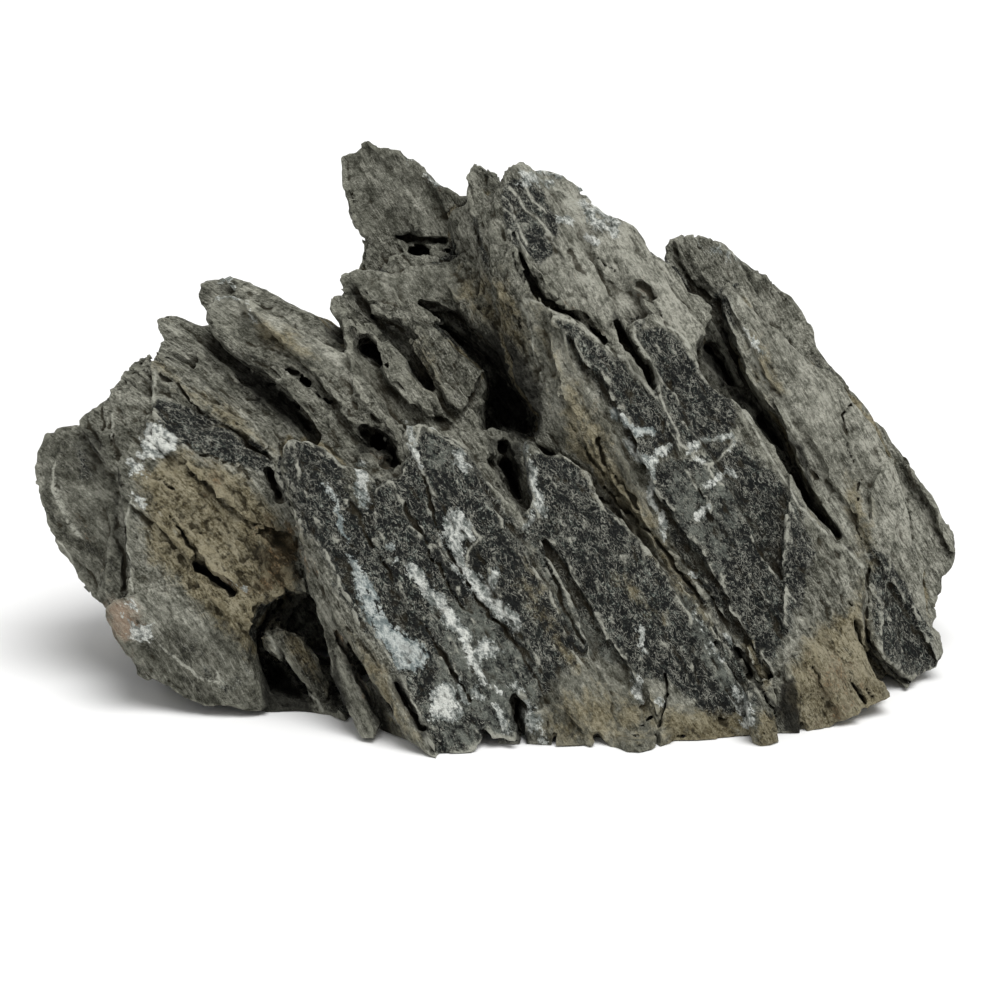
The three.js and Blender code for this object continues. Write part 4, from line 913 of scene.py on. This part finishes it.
def carveCracks(field, low, depths):
    step = surface["voxel"]
    for crack in cracks:
        places = []
        for px, py in crack["path"]:
            cells = depths[int(py // mapStep) - 1:int(py // mapStep) + 2,
                           int(px // mapStep) - 1:int(px // mapStep) + 2]
            nearest = float(cells.min())
            if nearest > 900:
                continue
            places.append(worldPlace(px, py, nearest - 1))
            places.append(worldPlace(px, py, nearest + crack["deep"] + 3))
        if not places:
            continue
        places = np.array(places)
        first = np.floor((places.min(0) - 3) / step).astype(int) - low
        last = np.ceil((places.max(0) + 3) / step).astype(int) - low
        first = np.maximum(first, 0)
        last = np.minimum(last, np.array(field.shape))
        box = tuple(slice(a, b) for a, b in zip(first, last))
        axes = [(np.arange(a, b) + l) * step for a, b, l in zip(first, last, low)]
        points = [p.astype(np.float32) for p in np.meshgrid(*axes, indexing="ij")]
        x, up, depth = sightPlace(points)
        px, py = pixelPlace(x, up, depth)
        px = px + 3 * noise(points, 3.0, 41) + 2.5 * noise(points, 1.2, 42)
        py = py + 3 * noise(points, 3.0, 43) + 2.5 * noise(points, 1.2, 44)
        away = pathDistance(px, py, crack["path"]) * mmPerPx
        below = depth - atPixel(depths, px, py, mapStep)
        narrowing = 1 - np.clip(below / crack["deep"], 0, 1)
        vary = min(0.9 * crack["wide"], 0.7)
        wide = crackWiden + 0.85 * crack["wide"] + vary * noise(points, 3.5, 45)
        wide = np.maximum(wide, 0) * np.sqrt(narrowing)
        gap = np.where((below > -3) & (narrowing > 0), away - wide / 2, 3)
        field[box] = np.maximum(field[box], -gap.astype(np.float32))


def addSills(field, low):
    # joined to the field where the pixels' sight lines meet the table
    step = surface["voxel"]
    for sill in sills:
        outline = []
        for px, py in sill["front"]:
            _, yNear, zNear = worldPlace(px, py, 0.0)
            _, yFar, zFar = worldPlace(px, py, 10.0)
            share = zNear / (zNear - zFar)
            outline.append((worldPlace(px, py, 10.0 * share)[0], yNear + (yFar - yNear) * share))
        outline += [(x, y + sill["back"]) for x, y in (outline[-1], outline[0])]
        first = [min(c[k] for c in outline) - 3 for k in (0, 1)] + [low[2] * step]
        last = [max(c[k] for c in outline) + 3 for k in (0, 1)] + [sill["high"] + 3]
        box = tuple(slice(max(int(a / step) - int(l), 0), int(b / step) - int(l))
                    for a, b, l in zip(first, last, low))
        axes = [(np.arange(b.start, b.stop) + l) * step for b, l in zip(box, low)]
        x, y, z = np.meshgrid(*[a.astype(np.float32) for a in axes], indexing="ij")
        away = pathDistance(x, y, outline + outline[:1])
        beside = np.where(insideOutline(x, y, outline), -away, away)
        top = sill["high"] * (0.75 + 0.5 * noise((x, y, z * 0), 6.0, 81))
        above = np.maximum(z - top, beside)
        field[box] = np.minimum(field[box], np.maximum(above, -z))


def addSplinters(field, low):
    step = surface["voxel"]
    for splinter in splinters:
        middle = splinter["near"] + splinter["thick"] / 2
        places = np.array([worldPlace(px, py, middle + far) for px, py in splinter["outline"]
                           for far in (-10, 14)])
        first = np.maximum(np.floor(places.min(0) / step).astype(int) - low, 0)
        last = np.minimum(np.ceil(places.max(0) / step).astype(int) - low, field.shape)
        box = tuple(slice(a, b) for a, b in zip(first, last))
        axes = [(np.arange(a, b) + l) * step for a, b, l in zip(first, last, low)]
        x, up, depth = sightPlace(np.meshgrid(*[a.astype(np.float32) for a in axes], indexing="ij"))
        px, py = pixelPlace(x, up, depth)
        outline = splinter["outline"]
        away = pathDistance(px, py, outline + outline[:1])
        beside = np.where(insideOutline(px, py, outline), -away, away) * mmPerPx
        edge = np.array(outline[0])
        run = np.array(outline[-1]) - edge
        right = ((px - edge[0]) * run[1] - (py - edge[1]) * run[0]) / np.hypot(*run)
        near = splinter["near"] + splinter["lean"] * right
        slab = np.maximum(near - depth, depth - near - splinter["thick"])
        field[box] = np.minimum(field[box], np.maximum(slab, beside))


def melt(field, low, depths):
    # smooths the field in the seen skin of each patch
    step = surface["voxel"]
    for patch in meltings:
        cells = [depths[int(py // mapStep), int(px // mapStep)] for px, py in patch["outline"]]
        middle = float(np.median([c for c in cells if c < 900]))
        places = np.array([worldPlace(px, py, middle + far) for px, py in patch["outline"]
                           for far in (-16, 16)])
        first = np.maximum(np.floor((places.min(0) - 4) / step).astype(int) - low, 0)
        last = np.minimum(np.ceil((places.max(0) + 4) / step).astype(int) - low, field.shape)
        box = tuple(slice(a, b) for a, b in zip(first, last))
        axes = [(np.arange(a, b) + l) * step for a, b, l in zip(first, last, low)]
        x, up, depth = sightPlace(np.meshgrid(*[a.astype(np.float32) for a in axes], indexing="ij"))
        px, py = pixelPlace(x, up, depth)
        away = pathDistance(px, py, patch["outline"] + patch["outline"][:1])
        inside = np.where(insideOutline(px, py, patch["outline"]), away, -away)
        share = smooth(inside, -12, 8) * (1 - smooth(np.abs(depth - middle), 10, 15))
        field[box] += share * (blurred(field[box], patch["passes"]) - field[box])


points, triangles = solidMesh()
field, low = distanceField(points, triangles)
low = np.array(low)
addSills(field, low)
addSplinters(field, low)
plainPoints, _ = surfaceOf(field, low)
melt(field, low, frontDepths(plainPoints))
plainPoints, _ = surfaceOf(field, low)
depths = frontDepths(plainPoints)
print(f"stage 2: the field has {field.size / 1e6:.1f} million points")

near = np.nonzero(np.abs(field.ravel()) < surface["reliefReach"])[0]
index = np.unravel_index(near, field.shape)
nearPoints = [((i + l) * surface["voxel"]).astype(np.float32) for i, l in zip(index, low)]
sharp = (blurred(np.clip(field, -2.5, 2.5), 6) - field).ravel()[near]
boxLow = np.array(cadBox[0]) * metre + surface["inset"]
boxHigh = np.array(cadBox[1]) * metre - surface["inset"]
inward = nearPoints[2].copy()  # the way to the nearest wall of the solid's box
for k in range(3):
    if k < 2:
        inward = np.minimum(inward, nearPoints[k] - boxLow[k])
    inward = np.minimum(inward, boxHigh[k] - nearPoints[k])
distance = inParts(lambda values: wandered(values[:3], values[3]), nearPoints + [inward])
off = inParts(lambda values: relief(values[:3], values[3]), nearPoints + [sharp])
off = np.where(inward < 2, np.maximum(off, 0) + 0.05, off)
off *= smooth(nearPoints[2], 0, surface["footKeep"])
field.ravel()[near] = distance + off
carveCracks(field, low, depths)
for k in range(3):  # nothing goes past the solid's box
    shape = [1, 1, 1]
    shape[k] = -1
    line = ((np.arange(field.shape[k]) + low[k]) * surface["voxel"]).reshape(shape)
    start = boxLow[k] if k < 2 else 0.0
    field = np.maximum(field, np.maximum(start - line, line - boxHigh[k]).astype(np.float32))
print(f"stage 3: relief worked out at {len(near) / 1e6:.1f} million points")


def newMesh(name, points, faces):
    mesh = bpy.data.meshes.new(name)
    mesh.vertices.add(len(points))
    mesh.vertices.foreach_set("co", np.ascontiguousarray(points, np.float32).ravel())
    mesh.loops.add(faces.size)
    mesh.loops.foreach_set("vertex_index", faces.astype(np.int32).ravel())
    mesh.polygons.add(len(faces))
    mesh.polygons.foreach_set("loop_start", np.arange(0, faces.size, faces.shape[1], dtype=np.int32))
    mesh.update(calc_edges=True)
    return mesh


def largestBody(points, faces):
    # the stone alone, without crumbs that hang free or bubbles inside it
    label = np.arange(len(points))
    while True:
        lowest = label[faces].min(axis=1)
        before = label.copy()
        for k in range(faces.shape[1]):
            np.minimum.at(label, faces[:, k], lowest)
        label = label[label]
        if np.array_equal(label, before):
            break
    main = np.bincount(label).argmax()
    keep = label == main
    number = np.cumsum(keep) - 1
    return points[keep], number[faces[keep[faces[:, 0]]]]


def unseenShare(points):
    # 0 on what the picture shows, 1 behind and below it
    x, up, depth = sightPlace(points.T)
    px, py = pixelPlace(x, up, depth)
    share = smooth(depth - atPixel(depths, px, py, mapStep), 3.0, 9.0)
    return np.where(points[:, 2] < 0.6, 1.0, 0.15 + 0.85 * share)


points, quads = surfaceOf(field, low)
points, quads = largestBody(points, quads)
fine = bpy.data.objects.new("fineStone", newMesh("fineStone", points, quads))
bpy.context.scene.collection.objects.link(fine)
freely = fine.vertex_groups.new(name="freely")  # how freely the triangles may be merged
levels = np.ceil(unseenShare(points) * 8).astype(int)
for level in range(1, 9):
    freely.add(np.nonzero(levels == level)[0].tolist(), level / 8, "REPLACE")
thinner = fine.modifiers.new("thinner", "DECIMATE")
thinner.ratio = surface["triangles"] / (2 * len(quads))
thinner.use_collapse_triangulate = True
thinner.vertex_group = freely.name
thinner.vertex_group_factor = surface["seenFiner"]
thinned = fine.evaluated_get(bpy.context.evaluated_depsgraph_get())
rockMesh = bpy.data.meshes.new_from_object(thinned)
bpy.data.objects.remove(fine)
rockMesh.transform(Matrix.Scale(1 / metre, 4))
rockMesh.name = "slateStone"
rock = bpy.data.objects.new("slateStone", rockMesh)
bpy.context.scene.collection.objects.link(rock)
rockMesh.shade_smooth()
rockMesh.set_sharp_from_angle(angle=math.radians(surface["sharpDeg"]))
print(f"stage 4: {len(quads)} quads became {len(rockMesh.polygons)} triangles")


def keepValue(mesh, name, values):
    layer = mesh.attributes.new(name, "FLOAT", "POINT")
    layer.data.foreach_set("value", np.ascontiguousarray(values, np.float32))


places = np.empty(len(rockMesh.vertices) * 3, np.float32)
rockMesh.vertices.foreach_get("co", places)
places[2::3] = np.maximum(places[2::3], 0)  # nothing reaches below the table
rockMesh.vertices.foreach_set("co", places)
places = places.reshape(-1, 3).T * metre
x, up, depth = sightPlace(places)
px, py = pixelPlace(x, up, depth)
grain = grainPlace(x, up, depth)
front = frontness(px, py, depth, depths)
painted = marksAt(places, px, py, front)
# ridge says how sharp and convex each point is, hollow how deep it lies in a hollow; the finish paints
# highlight and shade from them
smallBlur = blurred(np.clip(field, -3, 3), 3)
broadBlur = blurred(smallBlur[::2, ::2, ::2], 10)
ridge = sampled(smallBlur, places / surface["voxel"] - low[:, None])
hollow = -sampled(broadBlur, (places / surface["voxel"] - low[:, None]) / 2)

# the far sides have no marks of their own, so patches follow the grain there
farFresh = smooth(layered(grain, (34, 13, 18), 51, 3), 0.0, 0.35) * 0.9
farTan = smooth(layered(grain, (26, 10, 16), 53, 3), 0.1, 0.45)
farPale = smooth(layered(grain, (30, 12, 16), 55, 3), 0.05, 0.4)
farCalcite = smooth(layered(grain, (14, 3.0, 8), 57, 3), 0.5, 0.8) * 0.8
away = 1 - front
keepValue(rockMesh, "fresh", painted["fresh"] + away * farFresh)
keepValue(rockMesh, "tan", painted["tan"] + away * farTan)
keepValue(rockMesh, "pale", painted["pale"] + away * farPale)
keepValue(rockMesh, "calcite", painted["calcite"] + away * farCalcite)
keepValue(rockMesh, "seen", front)
for name in ("haze", "rim", "ochre", "blue", "pink", "dark", "dull", "lit", "smooth", "line"):
    keepValue(rockMesh, name, painted[name])
keepValue(rockMesh, "ridge", ridge)
keepValue(rockMesh, "hollow", hollow)
layer = rockMesh.attributes.new("grain", "FLOAT_VECTOR", "POINT")
layer.data.foreach_set("vector", np.stack(grain, axis=1).astype(np.float32).ravel())
print("stage 5: marks laid on")

# The stone's colours, as they look on the picture, from 0 to 255.
stoneColours = {
    "weatheredDeep": (40, 40, 34),
    "weatheredDark": (70, 70, 61),
    "weathered": (98, 98, 88),
    "weatheredLight": (128, 128, 117),
    "chalk": (168, 167, 155),
    "freshDeep": (14, 16, 15),
    "freshDark": (27, 31, 29),
    "fresh": (45, 50, 46),
    "freshLight": (77, 83, 77),
    "speck": (130, 135, 127),
    "haze": (112, 116, 108),
    "tanDeep": (44, 38, 25),
    "tanDark": (78, 68, 44),
    "tan": (107, 99, 74),
    "tanLight": (142, 134, 109),
    "ochreDark": (52, 38, 20),
    "ochre": (118, 88, 52),
    "calciteDark": (122, 127, 123),
    "calcite": (220, 222, 215),
    "blue": (120, 142, 148),
    "pink": (160, 134, 112),
    # edge and ridge are light shades for painted highlights; edge also colours the crystal threads
    "edge": (172, 172, 160),
    "ridge": (146, 146, 133),
    # the two darkest shades below are painted shade for crevices and hollows, the first also brown dirt
    "shadeAndDirt": (40, 35, 22),
    "deepShade": (12, 11, 8),
}
stoneFinish = {
    "roughnessFresh": 0.55,
    "roughnessWeathered": 0.92,
    "specular": 0.15,
    "bump": 0.0007,  # metres
}


def linear(rgb):
    parts = [c / 255 for c in rgb]
    return tuple(p / 12.92 if p < 0.04045 else ((p + 0.055) / 1.055) ** 2.4 for p in parts) + (1,)


stone = bpy.data.materials.new("stone")
stone.use_nodes = True
tree = stone.node_tree
shader = tree.nodes["Principled BSDF"]


def node(kind, **settings):
    made = tree.nodes.new(kind)
    for name, value in settings.items():
        setattr(made, name, value)
    return made


def plug(value, socket):
    if isinstance(value, bpy.types.NodeSocket):
        tree.links.new(value, socket)
    else:
        socket.default_value = value


def attribute(name):
    return node("ShaderNodeAttribute", attribute_name=name).outputs["Fac"]


def maths(operation, a, b=0.0):
    made = node("ShaderNodeMath", operation=operation)
    plug(a, made.inputs[0])
    plug(b, made.inputs[1])
    return made.outputs[0]


def times(a, b):
    return maths("MULTIPLY", a, b)


def plus(a, b):
    return maths("ADD", a, b)


def ramp(value, low, high, start=0.0, end=1.0):
    made = node("ShaderNodeMapRange", interpolation_type="SMOOTHSTEP")
    for name, given in zip(("Value", "From Min", "From Max", "To Min", "To Max"),
                           (value, low, high, start, end)):
        plug(given, made.inputs[name])
    return made.outputs["Result"]


def mixed(share, first, second):
    made = node("ShaderNodeMix", data_type="RGBA")
    plug(share, made.inputs[0])
    plug(first, made.inputs[6])
    plug(second, made.inputs[7])
    return made.outputs[2]


def shades(value, *stops):
    # a colour that goes from one named shade to the next as the value grows
    made = node("ShaderNodeValToRGB")
    parts = made.color_ramp.elements
    while len(parts) < len(stops):
        parts.new(0.5)
    for part, (place, name) in zip(parts, stops):
        part.position = place
        part.color = colour[name]
    plug(value, made.inputs["Fac"])
    return made.outputs["Color"]


grainVector = node("ShaderNodeAttribute", attribute_name="grain").outputs["Vector"]


def grainNoise(size, detail=3.0, roughness=0.6, shift=0.0, distortion=0.0):
    # size in millimetres along the grain, across it and in depth
    place = node("ShaderNodeMapping")
    plug(grainVector, place.inputs["Vector"])
    place.inputs["Scale"].default_value = tuple(1 / s for s in size)
    place.inputs["Location"].default_value = (shift, shift * 1.7, shift * 2.3)
    made = node("ShaderNodeTexNoise")
    plug(place.outputs["Vector"], made.inputs["Vector"])
    made.inputs["Scale"].default_value = 1.0
    made.inputs["Detail"].default_value = detail
    made.inputs["Roughness"].default_value = roughness
    made.inputs["Distortion"].default_value = distortion
    return made.outputs["Fac"]


colour = {name: linear(rgb) for name, rgb in stoneColours.items()}
broad = grainNoise((17, 8, 12), 4, 0.62, 5.1, 0.6)
mottle = grainNoise((3.8, 2.9, 3.4), 4, 0.7, 1.3, 0.5)
streak = grainNoise((7.0, 0.9, 2.6), 3, 0.65, 3.7, 0.7)
fine = grainNoise((1.4, 1.15, 1.25), 4, 0.75, 9.7)
grit = grainNoise((0.48, 0.38, 0.43), 1, 0.6, 17.3)
speck = grainNoise((0.85, 0.6, 0.7), 2, 0.75, 14.2)
fray = grainNoise((4.0, 2.2, 3.0), 5, 0.72, 21.9)
filament = grainNoise((2.6, 1.5, 2.0), 3, 0.6, 33.3, 1.2)
fibre = grainNoise((1.5, 0.8, 1.1), 2, 0.5, 37.1, 0.8)
needle = grainNoise((5.0, 0.8, 2.0), 2, 0.5, 55.7)
lamina = grainNoise((3.4, 0.42, 1.3), 1, 0.6, 61.3)


def blend(start, *parts):
    # start plus each noise's swing about its middle, times its strength
    total = start
    for strength, value in parts:
        total = plus(total, times(maths("SUBTRACT", value, 0.5), strength))
    return total


def masked(name, spread=0.9, low=0.42, high=0.6):
    # a mark's value with its edge frayed
    return ramp(blend(attribute(name), (spread, fray)), low, high)


def drawn(value, wide, strength, where):
    # thin lines where the value passes its middle
    away = maths("ABSOLUTE", maths("SUBTRACT", value, 0.5))
    return times(ramp(away, 0.0, wide, strength, 0.0), where)


hair = grainNoise((17, 1.3, 6), 3, 0.5, 41.5)
darkHair = grainNoise((15, 1.3, 6), 3, 0.5, 47.5)
worn = ramp(attribute("smooth"), 0.2, 0.7, 1.0, 0.45)
streaky = times(maths("SUBTRACT", streak, 0.5), ramp(broad, 0.4, 0.6, 0.3, 1.2))
streaky = plus(streaky, blend(0.0, (0.8, lamina), (0.8, grit), (0.8, speck)))
tone = blend(0.52, (1.35, broad), (0.75, mottle), (1.3, fine))
tone = plus(tone, times(streaky, worn))
# painted light: the pale mark also lightens faces turned towards the light
tone = plus(tone, times(masked("pale", 0.9, 0.2, 0.8), 0.22))
# painted shade: the dull mark also darkens faces turned away from the light
tone = plus(tone, times(masked("dull", 0.9, 0.2, 0.8), -0.22))
weathered = shades(tone, (0.05, "weatheredDeep"), (0.3, "weatheredDark"), (0.52, "weathered"),
                   (0.76, "weatheredLight"), (1.0, "chalk"))
paleHere = ramp(attribute("pale"), 0.25, 0.6, 0.35, 1.0)
weathered = mixed(drawn(hair, 0.045, 0.7, times(ramp(mottle, 0.42, 0.56), paleHere)), weathered,
                  colour["chalk"])
weathered = mixed(drawn(darkHair, 0.04, 0.65, times(ramp(mottle, 0.4, 0.54, 1.0, 0.0), paleHere)),
                  weathered, colour["weatheredDeep"])
web = maths("MAXIMUM", drawn(fibre, 0.035, 0.55, ramp(fray, 0.42, 0.56)),
            drawn(needle, 0.04, 0.65, ramp(mottle, 0.44, 0.56)))
web = times(web, worn)
weathered = mixed(web, weathered, colour["chalk"])
earthTone = blend(tone, (1.1, mottle), (1.2, speck))
earth = shades(earthTone, (0.05, "tanDeep"), (0.35, "tanDark"), (0.6, "tan"), (0.95, "tanLight"))
earth = mixed(web, earth, colour["tanLight"])
freshEdge = blend(attribute("fresh"), (1.1, fray))
dense = ramp(broad, 0.38, 0.62, 0.85, 1.2)
pepper = blend(0.0, (2.2, speck), (2.2, fine), (1.8, grit), (0.9, lamina))
pepper = plus(times(pepper, dense), blend(0.0, (0.9, mottle), (0.9, broad)))
fresh = shades(pepper, (0.05, "freshDeep"), (0.28, "freshDark"), (0.5, "fresh"),
               (0.75, "freshLight"), (1.0, "speck"))
thread = maths("MAXIMUM", drawn(filament, 0.025, 0.65, ramp(mottle, 0.4, 0.54)),
               drawn(fibre, 0.035, 0.65, ramp(fray, 0.42, 0.56)))
fresh = mixed(thread, fresh, colour["edge"])
dusty = ramp(blend(attribute("haze"), (2.4, mottle), (1.8, fine)), 0.45, 1.25, 0.0, 0.75)
fresh = mixed(dusty, fresh, colour["haze"])
body = mixed(ramp(freshEdge, 0.4, 0.6), weathered, fresh)
body = mixed(times(ramp(blend(attribute("tan"), (1.7, mottle), (0.8, fray)), 0.3, 0.95), 0.8),
             body, earth)
rust = shades(pepper, (0.2, "ochreDark"), (0.75, "ochre"), (1.0, "tanLight"))
body = mixed(times(ramp(blend(attribute("ochre"), (2.4, mottle), (1.0, fine)), 0.4, 1.0), 0.75),
             body, rust)
body = mixed(times(masked("pink", 1.3, 0.3, 0.9), 0.55), body, colour["pink"])
# painted highlight with some wear: convex edges lightened as if they caught the light
ridges = blend(attribute("ridge"), (0.4, fray), (0.3, fine))
body = mixed(ramp(ridges, 0.05, 0.3, 0.0, 0.42), body, mixed(attribute("tan"), colour["ridge"],
                                                          colour["tanLight"]))
# painted highlight along the sharp edges of the fresh faces
freshRim = times(ramp(ridges, 0.13, 0.26, 0.0, 0.7), ramp(attribute("fresh"), 0.25, 0.5))
freshRim = times(freshRim, ramp(attribute("seen"), 0.2, 0.8, 0.3, 1.0))
body = mixed(freshRim, body, colour["edge"])
# painted highlight: the rim lines light the edges of faces, and some hairlines of the stone
nearLine = ramp(blend(attribute("rim"), (0.5, mottle)), 0.3, 0.5)
body = mixed(times(nearLine, ramp(fine, 0.35, 0.65, 0.0, 0.35)), body, colour["ridge"])
lineAway = maths("ABSOLUTE", blend(attribute("line"), (5.0, fray), (2.5, fine)))
lineShare = times(nearLine, ramp(lineAway, 0.5, 1.9, 0.9, 0.0))
body = mixed(times(lineShare, ramp(mottle, 0.36, 0.52, 0.35, 1.0)), body, colour["edge"])
grown = plus(times(attribute("calcite"), 0.55), 0.12)
crystal = shades(blend(grown, (1.2, speck), (1.7, fine), (1.6, mottle)), (0.0, "freshLight"),
                 (0.35, "calciteDark"), (0.8, "calcite"))
crystal = mixed(times(attribute("blue"), 0.3), crystal, colour["blue"])
whitened = ramp(blend(attribute("calcite"), (1.6, fray), (1.0, fine), (0.5, speck)), 0.42, 0.58,
                0.0, 0.9)
body = mixed(whitened, body, crystal)
# painted shade with brown dirt: hollows and narrow concave crevices darkened
body = mixed(ramp(blend(attribute("hollow"), (1.0, mottle)), 0.1, 0.9, 0.0, 0.6), body,
             colour["shadeAndDirt"])
body = mixed(ramp(blend(attribute("ridge"), (0.25, fine)), -0.26, -0.05, 0.8, 0.0), body,
             colour["shadeAndDirt"])
# painted shade: the deeper a point lies in a hollow, the nearer to black, except where the lit mark
# holds it off
hollowShade = times(ramp(attribute("hollow"), 0.5, 1.6, 0.0, 0.85),
              ramp(attribute("lit"), 0.0, 0.6, 1.0, 0.1))
body = mixed(hollowShade, body, colour["deepShade"])
# painted shade from the marks of deep hollows, gaps and the cave floor
body = mixed(times(masked("dark", 0.7, 0.25, 0.8), 0.85), body, colour["deepShade"])
plug(body, shader.inputs["Base Color"])
plug(ramp(freshEdge, 0.42, 0.55, stoneFinish["roughnessWeathered"], stoneFinish["roughnessFresh"]),
     shader.inputs["Roughness"])
shader.inputs["Specular IOR Level"].default_value = stoneFinish["specular"]
height = plus(times(fine, 1.6), times(speck, 1.3))
bump = node("ShaderNodeBump")
bump.inputs["Distance"].default_value = stoneFinish["bump"]
bump.inputs["Strength"].default_value = 0.9
plug(height, bump.inputs["Height"])
plug(bump.outputs["Normal"], shader.inputs["Normal"])
rockMesh.materials.clear()
rockMesh.materials.append(stone)
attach(rock, "root")
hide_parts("rock")
print("stage 6: the stone has its finish")

# The room. Lengths in metres.
room = {
    "floor": 14.0,
    "floorColour": (0.92, 0.92, 0.915, 1),
    "world": 0.5,
    "sun": 2.7,
    "sunSpreadDeg": 45,
    "sunFrom": (0.22, -0.32, 1.0),
}


def makeFloor():
    half = room["floor"] / 2
    corners = [(-half, -half, 0), (half, -half, 0), (half, half, 0), (-half, half, 0)]
    mesh = bpy.data.meshes.new("floor")
    mesh.from_pydata(corners, [], [(0, 1, 2, 3)])
    material = bpy.data.materials.new("floor")
    material.use_nodes = True
    material.node_tree.nodes["Principled BSDF"].inputs["Base Color"].default_value = room["floorColour"]
    material.node_tree.nodes["Principled BSDF"].inputs["Roughness"].default_value = 0.8
    mesh.materials.append(material)
    floor = bpy.data.objects.new("floor", mesh)
    bpy.context.scene.collection.objects.link(floor)


def makeSun():
    lamp = bpy.data.lights.new("softSun", "SUN")
    lamp.energy = room["sun"]
    lamp.angle = math.radians(room["sunSpreadDeg"])
    light = bpy.data.objects.new("softSun", lamp)
    light.rotation_euler = Vector(room["sunFrom"]).to_track_quat("Z", "Y").to_euler()
    bpy.context.scene.collection.objects.link(light)


makeFloor()
makeSun()
world = bpy.data.worlds.new("studio")
world.use_nodes = True
world.node_tree.nodes["Background"].inputs["Color"].default_value = (1, 1, 1, 1)
world.node_tree.nodes["Background"].inputs["Strength"].default_value = room["world"]
bpy.context.scene.world = world
bpy.context.scene.view_settings.view_transform = "Standard"

lens = bpy.data.cameras.new("camera")
lens.sensor_fit = "HORIZONTAL"
lens.angle = 2 * math.atan(middlePx * mmPerPx / view["eyeDistance"])
lens.clip_start = 0.01
camera = bpy.data.objects.new("camera", lens)
aim = Vector(view["aim"]) / metre
camera.location = aim + Vector((0, -dropCos, dropSin)) * view["eyeDistance"] / metre
camera.rotation_euler = (math.radians(90 - view["eyeDropDeg"]), 0, 0)
bpy.context.scene.collection.objects.link(camera)
bpy.context.scene.camera = camera
print("stage 7: floor, lights and camera are in place")
